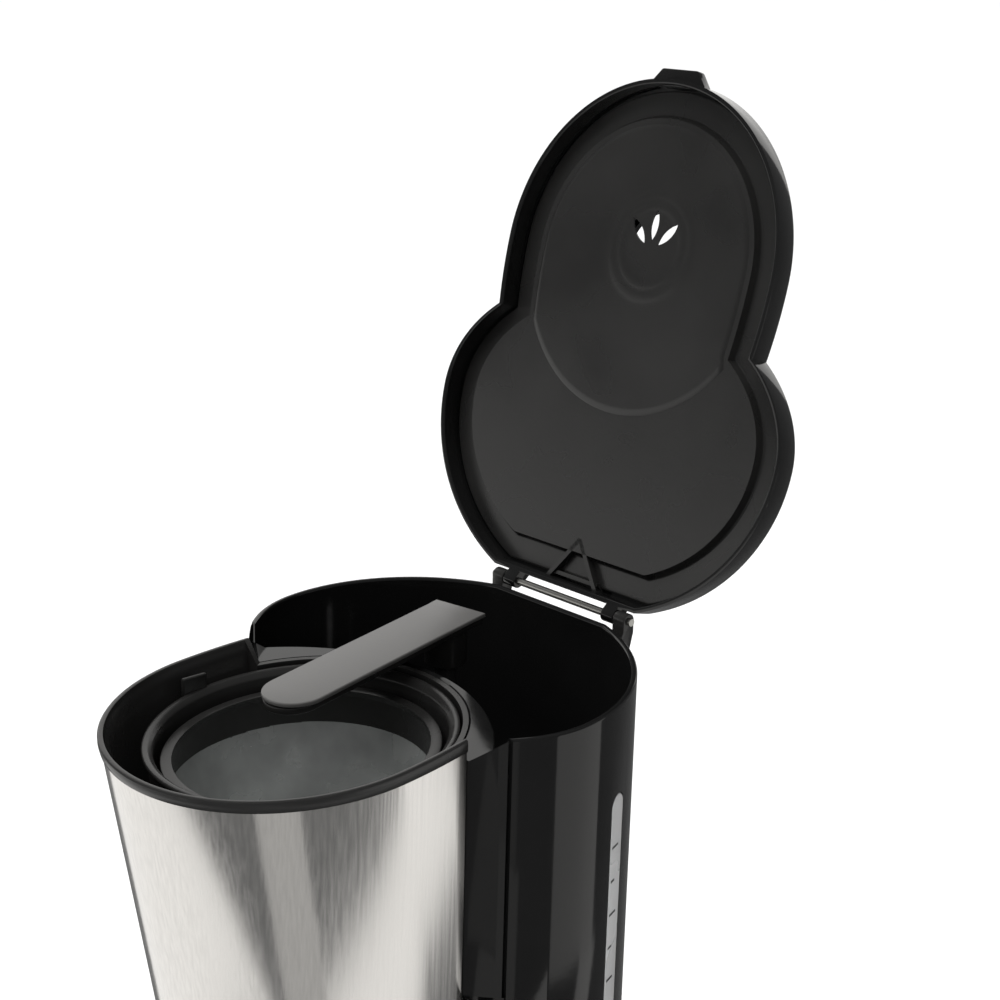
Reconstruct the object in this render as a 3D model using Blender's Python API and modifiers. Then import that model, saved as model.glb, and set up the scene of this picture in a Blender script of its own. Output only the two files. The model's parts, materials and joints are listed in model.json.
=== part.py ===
"""Drip coffee maker with a figure-eight top: swing-up lid, rear water tank, front filter bay.

Units are metres, +Z is up, -Y is the front (carafe side) and +X is the machine's right.
The shapes are drawn around the centre of the rear lobe, and an empty shifts them all along Y
so that the middle of the whole object stands over the origin.
"""
import math

import bmesh
import bpy
from mathutils import Matrix, Vector

MM = 0.001

# ---- driving dimensions -------------------------------------------------------------------
SHIFT_Y = 10.56 * MM         # moves the rear lobe's centre so that the object is centred
GAP = 0.3 * MM               # clearance between pieces that touch
WALL = 2.4 * MM              # moulded wall
RIM_Z = 312.0 * MM           # top rim, at the rear lobe's centre
RIM_SLOPE = 0.08             # the rim rises towards the back
LEDGE_DROP = 8.0 * MM        # the ledge between the bay and the tank lies below the rim
FRONT_R = 65.0 * MM          # front lobe
FRONT_Y = -61.0 * MM
FRONT_TAIL = 118.0 * MM      # how slowly the front lobe narrows towards the waist
FRONT_LEAN = 17.0 * MM       # the front wall leans back towards its foot
FRONT_TAPER = 2.0 * MM
WAIST_Y = -31.5 * MM
REAR_HALF = 85.5 * MM        # rear lobe: half width, and its reach to the back and the front
REAR_Y = 5.4 * MM
REAR_BACK = 69.5 * MM
REAR_FRONT = 54.6 * MM
BACK_FLAT = 70.5 * MM
BREW_Y = -54.0 * MM          # axis of the filter basket, the drip valve and the carafe
BAY_FLOOR_Z = 194.0 * MM     # underside of the filter bay
BAY_RADIUS = 70.0 * MM       # hollow in the column around the carafe
COLUMN_STEP_Z = 211.0 * MM   # above this the column reaches forward to the waist
BASE_Z = 42.0 * MM
BASE_BOTTOM_Z = 3.3 * MM
BASE_FRONT_GROW = 5.0 * MM
BASE_REAR_GROW = 1.5 * MM
BASE_FLAT_Y = -129.5 * MM
TANK_FLOOR_Z = 72.0 * MM
PLATE_Z = 45.6 * MM
HINGE_Y = 75.93 * MM
HINGE_Z = RIM_Z + 7.1 * MM
HINGE_HALF = 34.0 * MM
EYE_R = 3.0 * MM             # hinge eyes around the pin
LID_GROW = 4.8 * MM
LID_LIFT = 0.4 * MM
LID_SKIRT = 9.3 * MM
LID_OPEN = math.radians(109.0)
LID_BACK_Y = 72.4 * MM
ARM_PIVOT = Vector((-20.5 * MM, 33.0 * MM, 0))
ARM_TIP = Vector((-6.5 * MM, -62.5 * MM, 0))

PARTS = "drip_coffee_maker"
CUTTERS = "cutters"


# ---- scene helpers ------------------------------------------------------------------------
def clear_scene():
    for old in list(bpy.data.objects):
        bpy.data.objects.remove(old, do_unlink=True)


def collection(name):
    found = bpy.data.collections.get(name)
    if found is None:
        found = bpy.data.collections.new(name)
        bpy.context.scene.collection.children.link(found)
    return found


def material(name, colour, roughness, metallic=0.0, alpha=1.0):
    made = bpy.data.materials.new(name)
    made.use_nodes = True
    shader = made.node_tree.nodes["Principled BSDF"]
    shader.inputs["Base Color"].default_value = (*colour, 1.0)
    shader.inputs["Roughness"].default_value = roughness
    shader.inputs["Metallic"].default_value = metallic
    shader.inputs["Alpha"].default_value = alpha
    made.diffuse_color = (*colour, alpha)
    return made


def new_object(name, mesh, where=PARTS):
    made = bpy.data.objects.new(name, mesh)
    collection(where).objects.link(made)
    return made


def object_from_bmesh(name, bm, where=PARTS):
    bmesh.ops.recalc_face_normals(bm, faces=bm.faces)
    mesh = bpy.data.meshes.new(name)
    bm.to_mesh(mesh)
    bm.free()
    return new_object(name, mesh, where)


def move_origin(made, origin):
    """Move an object's origin to a point without moving its shape."""
    made.data.transform(Matrix.Translation(-Vector(origin)) @ made.matrix_basis)
    made.matrix_basis = Matrix.Translation(Vector(origin))
    return made


def smooth(made, angle=35.0):
    made.data.shade_smooth()
    made.data.set_sharp_from_angle(angle=math.radians(angle))


def cutter(made):
    for group in list(made.users_collection):
        group.objects.unlink(made)
    collection(CUTTERS).objects.link(made)
    made.hide_render = True
    made.display_type = 'WIRE'
    return made


def boolean(made, tool, operation='DIFFERENCE'):
    step = made.modifiers.new(f"{operation.lower()}_{tool.name}", 'BOOLEAN')
    step.operation = operation
    step.object = cutter(tool)
    step.solver = 'EXACT'
    return made


# ---- shape helpers ------------------------------------------------------------------------
def loft(name, rings, where=PARTS):
    """A closed skin through rings of equal length, with flat ends."""
    bm = bmesh.new()
    rows = [[bm.verts.new(point) for point in ring] for ring in rings]
    count = len(rows[0])
    for low, high in zip(rows, rows[1:]):
        for i in range(count):
            j = (i + 1) % count
            bm.faces.new((low[i], low[j], high[j], high[i]))
    bm.faces.new(rows[0])
    bm.faces.new(rows[-1])
    return object_from_bmesh(name, bm, where)


def signed_volume(made):
    """Volume of an object's evaluated mesh, negative where its faces point inwards."""
    bpy.context.view_layer.update()
    shape = made.evaluated_get(bpy.context.evaluated_depsgraph_get())
    bm = bmesh.new()
    bm.from_mesh(shape.data)
    volume = bm.calc_volume(signed=True)
    bm.free()
    return volume


def turned(name, profile, centre, steps=24, where=PARTS):
    """Turn a closed outline of (radius, height) points around a vertical axis."""
    mesh = bpy.data.meshes.new(name)
    points = [(radius, 0, height) for radius, height in profile]
    closed = profile[0][0] > 0 or profile[-1][0] > 0
    edges = [(i, i + 1) for i in range(len(points) - 1)]
    if closed:
        edges.append((len(points) - 1, 0))
    mesh.from_pydata(points, edges, [])
    made = new_object(name, mesh, where)
    made.location = centre
    screw = made.modifiers.new("turn", 'SCREW')
    screw.steps = steps
    screw.render_steps = steps
    screw.use_merge_vertices = True
    screw.merge_threshold = 0.00001
    screw.use_smooth_shade = True
    screw.use_normal_calculate = True
    screw.use_normal_flip = signed_volume(made) < 0
    return made


def cylinder(name, radius, bottom, top, x=0.0, y=0.0, sides=24, where=PARTS, top_radius=None):
    bm = bmesh.new()
    upper = radius if top_radius is None else top_radius
    bmesh.ops.create_cone(bm, cap_ends=True, segments=sides, radius1=radius, radius2=upper,
                          depth=top - bottom)
    made = object_from_bmesh(name, bm, where)
    made.location = (x, y, (top + bottom) / 2)
    return made


def box(name, low, high, where=PARTS):
    bm = bmesh.new()
    bmesh.ops.create_cube(bm, size=1.0)
    size = Vector(high) - Vector(low)
    bmesh.ops.scale(bm, vec=size, verts=bm.verts)
    made = object_from_bmesh(name, bm, where)
    made.location = (Vector(high) + Vector(low)) / 2
    return made


def bevel(made, width, segments=2, angle=40.0):
    step = made.modifiers.new("rounded", 'BEVEL')
    step.width = width
    step.segments = segments
    step.limit_method = 'ANGLE'
    step.angle_limit = math.radians(angle)
    return made


def mesh_from_curve(name, curve, place=None, where=PARTS):
    """Turn a curve into a welded mesh object, and remove the curve."""
    source = bpy.data.objects.new(name + "_curve", curve)
    bpy.context.scene.collection.objects.link(source)
    if place is not None:
        source.matrix_world = place
    bpy.context.view_layer.update()
    shape = source.evaluated_get(bpy.context.evaluated_depsgraph_get())
    mesh = bpy.data.meshes.new_from_object(shape)
    made = new_object(name, mesh, where)
    made.matrix_world = source.matrix_world
    bpy.data.objects.remove(source, do_unlink=True)
    bm = bmesh.new()
    bm.from_mesh(mesh)
    bmesh.ops.remove_doubles(bm, verts=bm.verts, dist=0.000005)
    bmesh.ops.recalc_face_normals(bm, faces=bm.faces)
    bm.to_mesh(mesh)
    bm.free()
    return made


def plate(name, outline, bottom, top, place=None, where=PARTS):
    """A flat outline drawn as a filled 2D curve, between two heights."""
    curve = bpy.data.curves.new(name, 'CURVE')
    curve.dimensions = '2D'
    curve.fill_mode = 'BOTH'
    curve.extrude = (top - bottom) / 2
    line = curve.splines.new('POLY')
    line.points.add(len(outline) - 1)
    for point, (x, y) in zip(line.points, outline):
        point.co = (x, y, 0, 1)
    line.use_cyclic_u = True
    lift = Matrix.Translation((0, 0, (top + bottom) / 2))
    return mesh_from_curve(name, curve, lift if place is None else place @ lift, where)


def tube(name, points, radius, resolution=2, where=PARTS):
    curve = bpy.data.curves.new(name, 'CURVE')
    curve.dimensions = '3D'
    curve.bevel_depth = radius
    curve.bevel_resolution = resolution
    curve.use_fill_caps = True
    line = curve.splines.new('POLY')
    line.points.add(len(points) - 1)
    for point, place in zip(line.points, points):
        point.co = (*place, 1)
    return mesh_from_curve(name, curve, None, where)


def smooth_route(corners, per_leg=5):
    """Points of a smooth curve through the given corners (Catmull-Rom)."""
    path = [Vector(corner) for corner in corners]
    ends = [2 * path[0] - path[1]] + path + [2 * path[-1] - path[-2]]
    points = []
    for a, b, c, d in zip(ends, ends[1:], ends[2:], ends[3:]):
        for step in range(per_leg):
            t = step / per_leg
            points.append(0.5 * (2 * b + (c - a) * t + (2 * a - 5 * b + 4 * c - d) * t * t
                                 + (3 * b - a - 3 * c + d) * t ** 3))
    points.append(path[-1])
    return points


def arc(centre, radius, start, end, count):
    """Points of an arc in plan, start and end in degrees."""
    angles = [math.radians(start + (end - start) * i / (count - 1)) for i in range(count)]
    return [(centre[0] + radius * math.cos(a), centre[1] + radius * math.sin(a)) for a in angles]


# ---- outlines -----------------------------------------------------------------------------
def rim_height(y, drop=0.0):
    return RIM_Z + RIM_SLOPE * y - drop


def front_x(y, centre_y, half):
    return half * math.sqrt(max(0.0, 1 - ((y - centre_y) / FRONT_TAIL) ** 2))


def rear_x(y, grow):
    reach = REAR_BACK + grow if y > REAR_Y else REAR_FRONT + grow / 2
    return (REAR_HALF + grow) * math.sqrt(max(0.0, 1 - ((y - REAR_Y) / reach) ** 2))


def waist(front_grow, rear_grow):
    """Where the two lobes' sides cross."""
    low, high = FRONT_Y, REAR_Y
    for _ in range(50):
        y = (low + high) / 2
        if front_x(y, FRONT_Y, FRONT_R + front_grow) > rear_x(y, rear_grow):
            low = y
        else:
            high = y
    return low


def rear_side(grow, start_y, back, front_count=6, back_count=8):
    """Right side of the rear lobe, from start_y to the flat back."""
    reach = REAR_FRONT + grow / 2
    half = REAR_HALF + grow
    first = math.asin((start_y - REAR_Y) / reach)
    last = math.asin(min(1.0, (back - REAR_Y) / (REAR_BACK + grow)))
    side = []
    for i in range(front_count):
        a = first * (1 - i / front_count)
        side.append((half * math.cos(a), REAR_Y + reach * math.sin(a)))
    for i in range(back_count + 1):
        a = last * i / back_count
        side.append((half * math.cos(a), REAR_Y + (REAR_BACK + grow) * math.sin(a)))
    return side


def mirrored(side):
    """A whole outline from its right side, which runs from the front to the back."""
    left = [(-x, y) for x, y in reversed(side) if x > 1e-6]
    return side + left


def front_side(grow, fraction, end_y, count=10):
    """Right side of the front lobe, tip to end_y, at a fraction of the way down the bay."""
    centre_y = FRONT_Y + FRONT_LEAN * fraction
    half = FRONT_R + grow - FRONT_TAPER * fraction
    side = arc((0, centre_y), half, -90, 0, count)
    side += [(front_x(y, centre_y, half), y)
             for y in (centre_y + (end_y - centre_y) * k / 3 for k in (1, 2, 3))]
    return side


def figure_eight(front_grow, rear_grow, back):
    end_y = waist(front_grow, rear_grow)
    return mirrored(front_side(front_grow, 0.0, end_y)[:-1] + rear_side(rear_grow, end_y, back))


def column_outline(grow, start_y, hollow_radius, hollow_y):
    """Rear lobe whose front is hollowed by an arc."""
    side = rear_side(grow, start_y, BACK_FLAT + grow)
    edge = math.degrees(math.asin((start_y - hollow_y) / hollow_radius))
    hollow = arc((0, hollow_y), hollow_radius, 180 - edge, edge, 15)
    return mirrored(side) + hollow


def at_height(outline, z):
    return [(x, y, z) for x, y in outline]


def on_rim(outline, drop=0.0):
    return [(x, y, rim_height(y, drop)) for x, y in outline]


# ---- column and tank ----------------------------------------------------------------------
TANK_ARC_R = 86.7 * MM
TANK_ARC_Y = -78.5 * MM
BAY_SLEEVE_R = 59.8 * MM
COLUMN_FRONT_Y = -24.0 * MM
SHOULDER_Y = -21.6 * MM       # joint between the column's front and side walls
TANK_FRONT_Y = -18.0 * MM
WINDOW_Y = 25.0 * MM
WINDOW_HALF = 5.0 * MM
WINDOW_LOW = 96.0 * MM
WINDOW_HIGH = RIM_Z - 33.0 * MM
RISER_R = 4.5 * MM
INTAKE = (26.0 * MM, 32.0 * MM)


def window_frame():
    """Axes at the window: local Z along the wall's outward normal, local Y up."""
    x = rear_x(WINDOW_Y, 0.0)
    normal = Vector((x / REAR_HALF ** 2, (WINDOW_Y - REAR_Y) / REAR_BACK ** 2, 0)).normalized()
    up = Vector((0, 0, 1))
    side = up.cross(normal)
    turn = Matrix((side, up, normal)).transposed().to_4x4()
    return Matrix.Translation((x, WINDOW_Y, 0)) @ turn


def stadium(half_width, low, high):
    top = arc((0, high - half_width), half_width, 0, 180, 9)
    bottom = arc((0, low + half_width), half_width, 180, 360, 9)
    return top + bottom


def tank_column():
    """Side and back walls of the column, open at the front."""
    start, bottom = SHOULDER_Y + GAP, BASE_Z + GAP
    outside = mirrored(rear_side(0.0, start, BACK_FLAT))
    inside = mirrored(rear_side(-WALL, start, BACK_FLAT - WALL))
    plan = outside + list(reversed(inside))
    made = loft("tank_column", [at_height(plan, bottom), on_rim(plan)])
    slot = plate("window_slot", stadium(WINDOW_HALF, WINDOW_LOW, WINDOW_HIGH),
                 -8 * MM, 8 * MM, window_frame(), CUTTERS)
    return boolean(made, slot)


def arc_from(y, radius, centre_y):
    """Points of an arc about the brew axis' plane, from the right at height y to the left."""
    edge = math.degrees(math.asin((y - centre_y) / radius))
    return arc((0, centre_y), radius, edge, 180 - edge, 15)


def bay_wall():
    """Front wall of the tank, hollowed for the carafe and, above a step, for the filter bay."""
    bottom, step = BASE_Z + GAP, COLUMN_STEP_Z
    front_low = arc_from(COLUMN_FRONT_Y, BAY_RADIUS, BREW_Y)
    back_low = arc_from(SHOULDER_Y, BAY_RADIUS + WALL, BREW_Y)
    front_up = arc_from(WAIST_Y, BAY_SLEEVE_R, BREW_Y)
    back_up = arc_from(SHOULDER_Y, TANK_ARC_R, TANK_ARC_Y)
    corner = (rear_x(SHOULDER_Y, 0.0), SHOULDER_Y)
    ends = ((rear_x(COLUMN_FRONT_Y, 0.0), COLUMN_FRONT_Y), corner, (rear_x(WAIST_Y, 0.0), WAIST_Y), corner)

    def section(low_front, low_back, up_front, up_back, back_drop):
        front_top = rim_height(up_front[1], LEDGE_DROP)
        back_top = rim_height(up_back[1], back_drop)
        return [(*low_front, bottom), (*low_front, step), (*up_front, step), (*up_front, front_top),
                (*up_back, back_top), (*up_back, step + WALL), (*low_back, step + WALL), (*low_back, bottom)]

    def side_end(sign):
        low_front, low_back, up_front, up_back = [(sign * x, y) for x, y in ends]
        made = section(low_front, low_back, up_front, up_back, 0.0)
        return made

    rows = [section(*points, LEDGE_DROP) for points in zip(front_low, back_low, front_up, back_up)]
    return loft("bay_wall", [side_end(1)] + rows + [side_end(-1)])


def tank_floor():
    """Floor of the tank, with the holes for the intake and the riser."""
    outline = column_outline(-WALL - GAP, TANK_FRONT_Y, BAY_RADIUS + WALL + GAP, BREW_Y)
    made = plate("tank_floor", outline, TANK_FLOOR_Z - WALL, TANK_FLOOR_Z)
    below, above = TANK_FLOOR_Z - 8 * MM, TANK_FLOOR_Z + 8 * MM
    boolean(made, cylinder("riser_hole", RISER_R + GAP, below, above, ARM_PIVOT.x, ARM_PIVOT.y, 16, CUTTERS))
    return boolean(made, cylinder("intake_hole", 5.3 * MM, below, above, *INTAKE, 16, CUTTERS))


def water_window():
    outline = stadium(WINDOW_HALF - GAP, WINDOW_LOW + GAP, WINDOW_HIGH - GAP)
    return plate("water_window", outline, -WALL, -0.1 * MM, window_frame())


def hinge_bracket():
    """Bar on the back of the column, with two ears that carry the lid's pin."""
    front, back = BACK_FLAT + GAP, BACK_FLAT + 4.5 * MM
    half = HINGE_HALF + 4 * MM
    made = box("hinge_bracket", (-half, front, HINGE_Z - 22 * MM), (half, back, HINGE_Z - 9 * MM))
    for side in (-1, 1):
        ear = [(front, HINGE_Z - 20 * MM), (back, HINGE_Z - 20 * MM), (HINGE_Y + EYE_R, HINGE_Z - 5 * MM)]
        ear += arc((HINGE_Y, HINGE_Z), EYE_R, 0, 180, 9)
        ear += [(HINGE_Y - EYE_R, HINGE_Z - 4 * MM), (front, HINGE_Z - 8 * MM)]
        stand = Matrix(((0, 0, 1, side * HINGE_HALF), (1, 0, 0, 0), (0, 1, 0, 0), (0, 0, 0, 1)))
        blade = plate(f"ear_{'left' if side < 0 else 'right'}", ear, -3 * MM, 3 * MM, stand, CUTTERS)
        boolean(made, blade, 'UNION')
    hole = cylinder("bracket_pin_hole", 1.5 * MM + GAP, -45 * MM, 45 * MM, 0, 0, 16, CUTTERS)
    hole.matrix_basis = Matrix.Translation((0, HINGE_Y, HINGE_Z)) @ Matrix.Rotation(math.pi / 2, 4, 'Y')
    boolean(made, hole)
    return made


def hinge_pin():
    made = cylinder("hinge_pin", 1.5 * MM, -38.5 * MM, 38.5 * MM, 0, 0, 16)
    made.matrix_basis = Matrix.Translation((0, HINGE_Y, HINGE_Z)) @ Matrix.Rotation(math.pi / 2, 4, 'Y')
    return made


# ---- front bay ----------------------------------------------------------------------------
SEAM_Y = WAIST_Y - GAP
LIP_HEIGHT = 4.5 * MM
LIP_FRACTION = LIP_HEIGHT / (RIM_Z - BAY_FLOOR_Z)
STEEL = 0.7 * MM


def bay_ring(front_grow, fraction, drop, end_y, back_r, back_drop):
    """Front lobe closed at the back by an arc, with separate heights for the two stretches."""
    side = front_side(front_grow, fraction, end_y)
    edge = math.degrees(math.asin((end_y - BREW_Y) / back_r))
    back = arc((0, BREW_Y), back_r, edge, 180 - edge, 15)

    def height(y, fall):
        return rim_height(y, fall) * (1 - fraction) + BAY_FLOOR_Z * fraction

    right = [(x, y, height(y, drop)) for x, y in side]
    left = [(-x, y, z) for x, y, z in reversed(right) if x > 1e-6]
    return right + [(x, y, height(y, back_drop)) for x, y in back] + left


def filter_housing():
    """Open bucket of the front bay: a proud lip, walls and a floor with an outlet hole."""
    skin = -STEEL - GAP
    outer_r = BAY_SLEEVE_R - GAP
    inner_r = outer_r - 2.1 * MM
    inner_y = SEAM_Y - 2.1 * MM
    floor = 2.4 * MM
    rings = [
        [(x, y, BAY_FLOOR_Z) for x, y, _ in bay_ring(skin, 1.0, 0, SEAM_Y, outer_r, 0)],
        bay_ring(skin, LIP_FRACTION, 0, SEAM_Y, outer_r, 12 * MM),
        bay_ring(0.6 * MM, LIP_FRACTION, 0, SEAM_Y, outer_r, 11 * MM),
        bay_ring(0.6 * MM, 0.0, 0.8 * MM, SEAM_Y, outer_r, 9 * MM),
        bay_ring(-0.1 * MM, 0.0, 0.0, SEAM_Y, outer_r - 0.2 * MM, LEDGE_DROP),
        bay_ring(-1.6 * MM, 0.0, 0.2 * MM, inner_y, inner_r + 0.1 * MM, LEDGE_DROP + 0.2 * MM),
        bay_ring(-3.1 * MM, LIP_FRACTION, 0, inner_y, inner_r, LEDGE_DROP + 3 * MM),
        [(x, y, BAY_FLOOR_Z + floor)
         for x, y, _ in bay_ring(-3.1 * MM, 1.0, 0, inner_y, inner_r, 0)],
    ]
    made = loft("filter_housing", rings)
    outlet = cylinder("bay_outlet", 13.0 * MM, BAY_FLOOR_Z - 9 * MM, BAY_FLOOR_Z + 9 * MM, 0, BREW_Y,
                      24, CUTTERS)
    return boolean(made, outlet)


def steel_wrap():
    """Thin brushed sheet around the front lobe, from seam to seam."""
    def section(fraction):
        def band(grow):
            side = front_side(grow, fraction, SEAM_Y, 12)
            line = [(x, y, rim_height(y) * (1 - fraction) + BAY_FLOOR_Z * fraction) for x, y in side]
            left = [(-x, y, z) for x, y, z in reversed(line) if x > 1e-6]
            return left + line
        outside = band(0.0)
        inside = band(-STEEL)
        return outside + list(reversed(inside))
    top = LIP_FRACTION + GAP / (RIM_Z - BAY_FLOOR_Z)
    return loft("steel_wrap", [section(1.0), section(0.5), section(top)])


# ---- filter basket, permanent filter and drip valve ------------------------------------------
def tilt_with_rim(made, top, bottom):
    """Tilt the top of a turned piece with the rim, fading out towards its foot."""
    mesh = bpy.data.meshes.new_from_object(
        made.evaluated_get(bpy.context.evaluated_depsgraph_get()))
    made.modifiers.clear()
    made.data = mesh
    for vertex in mesh.vertices:
        share = min(1.0, max(0.0, (vertex.co.z - bottom) / (top - bottom)))
        vertex.co.z += RIM_SLOPE * vertex.co.y * share
    return made


def filter_basket():
    z = RIM_Z
    profile = [
        (54.6, -13.7), (56.6, -13.7), (56.6, -15.7), (54.6, -16.2), (53.4, -35.0), (33.0, -110.0),
        (12.0, -115.0), (12.0, -124.0), (9.5, -124.0), (9.5, -117.2), (3.0, -117.2), (3.0, -114.8),
        (31.2, -107.6), (51.6, -35.0), (52.6, -15.7),
    ]
    made = turned("filter_basket", [(r * MM, z + h * MM) for r, h in profile], (0, BREW_Y, 0), 30)
    bpy.context.view_layer.update()
    tilt_with_rim(made, z - 13.7 * MM, z - 60 * MM)
    hook = box("hook_block", (-57.2 * MM, BREW_Y - 13 * MM, z - 16 * MM),
               (-54.9 * MM, BREW_Y - 2 * MM, z - 8.2 * MM), CUTTERS)
    boolean(made, hook, 'UNION')
    return made


def permanent_filter():
    z = RIM_Z
    profile = [
        (0, -104.4), (25.5, -104.4), (47.2, -33.0), (47.4, -22.6), (46.0, -20.0), (50.2, -20.0),
        (50.2, -21.6), (48.6, -22.6), (48.4, -33.0), (26.6, -105.6), (0, -105.6),
    ]
    made = turned("permanent_filter", [(r * MM, z + h * MM) for r, h in profile], (0, BREW_Y, 0), 30)
    bpy.context.view_layer.update()
    return tilt_with_rim(made, z - 20 * MM, z - 60 * MM)


PLUNGER_BOTTOM = 181.5 * MM
SEAT_Z = RIM_Z - 114.8 * MM


def valve_plunger():
    low = PLUNGER_BOTTOM
    seat = SEAT_Z
    profile = [
        (0, seat + 3.4 * MM), (4.0 * MM, seat + 3.4 * MM), (6.0 * MM, seat + 2.8 * MM),
        (6.0 * MM, seat + 1.8 * MM), (1.6 * MM, seat + 1.8 * MM), (1.6 * MM, low + 2.6 * MM),
        (7.5 * MM, low + 2.6 * MM), (7.5 * MM, low + 0.8 * MM), (6.5 * MM, low), (0, low),
    ]
    return turned("valve_plunger", profile, (0, BREW_Y, 0), 20)


def valve_seal():
    seat = SEAT_Z
    profile = [
        (1.9 * MM, seat + 1.5 * MM), (5.4 * MM, seat + 1.5 * MM), (5.4 * MM, seat + 1.5 * MM - 0.4 * MM),
        (3.6 * MM, seat + 0.5 * MM), (1.9 * MM, seat + 0.5 * MM),
    ]
    return turned("valve_seal", profile, (0, BREW_Y, 0), 20)


def valve_spring():
    low = PLUNGER_BOTTOM + 3.4 * MM
    high = RIM_Z - 118.0 * MM
    turns, per_turn, radius = 4, 12, 5.5 * MM
    points = []
    for i in range(turns * per_turn + 1):
        a = 2 * math.pi * i / per_turn
        points.append((radius * math.cos(a), BREW_Y + radius * math.sin(a),
                       low + (high - low) * i / (turns * per_turn)))
    return tube("valve_spring", points, 0.4 * MM, 1)


# ---- water arm ----------------------------------------------------------------------------
ARM_TOP = RIM_Z + 2.0 * MM
ARM_SLOPE = 0.07


def arm_outline(half_root, half_tip):
    """Plan of the arm in its own axes: root at the origin, tip along -Y."""
    length = (ARM_TIP - ARM_PIVOT).length
    root = 9.0 * MM
    right = [(half_root, root), (half_root, -20 * MM), (half_tip, -length + half_tip)]
    tip = arc((0, -length + half_tip), half_tip, 0, -180, 9)[1:-1]
    left = [(-x, y) for x, y in reversed(right)]
    return right + tip + left


def arm_place():
    reach = ARM_TIP - ARM_PIVOT
    turn = Matrix.Rotation(math.atan2(reach.x, -reach.y), 4, 'Z')
    return Matrix.Translation(ARM_PIVOT) @ turn


def slope_arm(made):
    """Let the arm fall gently towards its tip."""
    place = arm_place()
    made.data.transform(made.matrix_basis)
    made.matrix_basis = Matrix()
    for vertex in made.data.vertices:
        vertex.co.z += ARM_SLOPE * (place @ vertex.co).y
    made.matrix_basis = place
    return made


def water_arm():
    """Flat cover of the water outlet arm."""
    made = plate("water_arm", arm_outline(12.4 * MM, 12.6 * MM), ARM_TOP - 1.8 * MM, ARM_TOP)
    return slope_arm(made)


def arm_channel():
    """Lower half of the arm: the channel, the socket over the riser and the nozzle."""
    under = ARM_TOP - 1.8 * MM - GAP
    made = plate("arm_channel", arm_outline(11.0 * MM, 11.0 * MM), under - 2.6 * MM, under)
    slope_arm(made)
    length = (ARM_TIP - ARM_PIVOT).length
    socket = cylinder("arm_socket", 8.4 * MM, RIM_Z - 16 * MM, RIM_Z - 0.6 * MM, 0, 0, 20, CUTTERS)
    nozzle = cylinder("arm_nozzle", 3.6 * MM, RIM_Z - 8.0 * MM, RIM_Z - 4.0 * MM, 0, -length + 13 * MM,
                      16, CUTTERS, 5.4 * MM)
    bore = cylinder("arm_bore", RISER_R + GAP, RIM_Z - 30 * MM, RIM_Z - 3.4 * MM, 0, 0, 20, CUTTERS)
    for tool, operation in ((socket, 'UNION'), (nozzle, 'UNION'), (bore, 'DIFFERENCE')):
        tool.matrix_basis = arm_place() @ tool.matrix_basis
        boolean(made, tool, operation)
    return made


def riser_tube():
    """Hot water pipe through the tank, from under its floor up to the arm."""
    low, high = TANK_FLOOR_Z - 14 * MM, RIM_Z - 4.4 * MM
    r, bore = RISER_R, RISER_R - 1.3 * MM
    profile = [(bore, high), (r, high), (r, low), (bore, low)]
    return turned("riser_tube", profile, (ARM_PIVOT.x, ARM_PIVOT.y, 0), 20)


def riser_grommet():
    """Rubber ring that seals the riser in the tank floor, from above."""
    low = TANK_FLOOR_Z + GAP
    r = RISER_R + GAP
    profile = [(r, low + 4 * MM), (r + 2 * MM, low + 4 * MM), (r + 4 * MM, low), (r, low)]
    return turned("riser_grommet", profile, (ARM_PIVOT.x, ARM_PIVOT.y, 0), 20)


# ---- lid ----------------------------------------------------------------------------------
VENT_X = 4.4 * MM
VENT_FOOT_Y = -63.5 * MM
VENT_R = 17.5 * MM


def vent_foot():
    """Point that the vent slots fan out from, and middle of the outer shell's opening."""
    return VENT_X, VENT_FOOT_Y


def closed_lid_frame():
    """Axes of the closed lid: local Z is the outward normal, and Y runs to the back."""
    tilt = Matrix.Rotation(math.atan(RIM_SLOPE), 4, 'X')
    return Matrix.Translation((0, 0, RIM_Z + LID_LIFT)) @ tilt


def lid_pose():
    """Turns the closed lid back about its pin."""
    pin = Matrix.Translation((0, HINGE_Y, HINGE_Z))
    return pin @ Matrix.Rotation(-LID_OPEN, 4, 'X') @ pin.inverted()


def place_lid_piece(made):
    made.data.transform(lid_pose() @ closed_lid_frame() @ made.matrix_basis)
    made.matrix_basis = Matrix()
    return move_origin(made, (0, HINGE_Y, HINGE_Z))


def lid_outline(grow):
    """Plan of the lid about the rear lobe's centre, grown or shrunk evenly."""
    return figure_eight(LID_GROW + grow, LID_GROW + grow, LID_BACK_Y + grow)


def petals():
    """Three leaf-shaped vent slots that fan out from a point."""
    foot = Vector(vent_foot())
    leaves = []
    for k, angle in enumerate((-42.0, 0.0, 42.0)):
        length, half = 12.5 * MM, 1.9 * MM
        radius = (length ** 2 / 4 + half ** 2) / (2 * half)
        span = math.degrees(math.asin(length / 2 / radius))
        lens = arc((half - radius, 0), radius, -span, span, 7)
        lens += arc((radius - half, 0), radius, 180 - span, 180 + span, 7)[1:-1]
        leaf = plate(f"petal_{k}", lens, -5 * MM, 30 * MM, None, CUTTERS)
        out = Matrix.Rotation(math.radians(angle), 4, 'Z')
        start = Matrix.Translation((foot.x, foot.y, 0))
        centre = Matrix.Translation((0, -length / 2 - 5.0 * MM, 0))
        leaf.data.transform(start @ out @ centre @ leaf.matrix_basis)
        leaf.matrix_basis = Matrix()
        leaves.append(leaf)
    return leaves


def cut_in_lid(made, tools, operation='DIFFERENCE'):
    for tool in tools:
        tool.data.transform(lid_pose() @ closed_lid_frame() @ tool.matrix_basis)
        tool.matrix_basis = Matrix()
        boolean(made, tool, operation)
    return made


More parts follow.
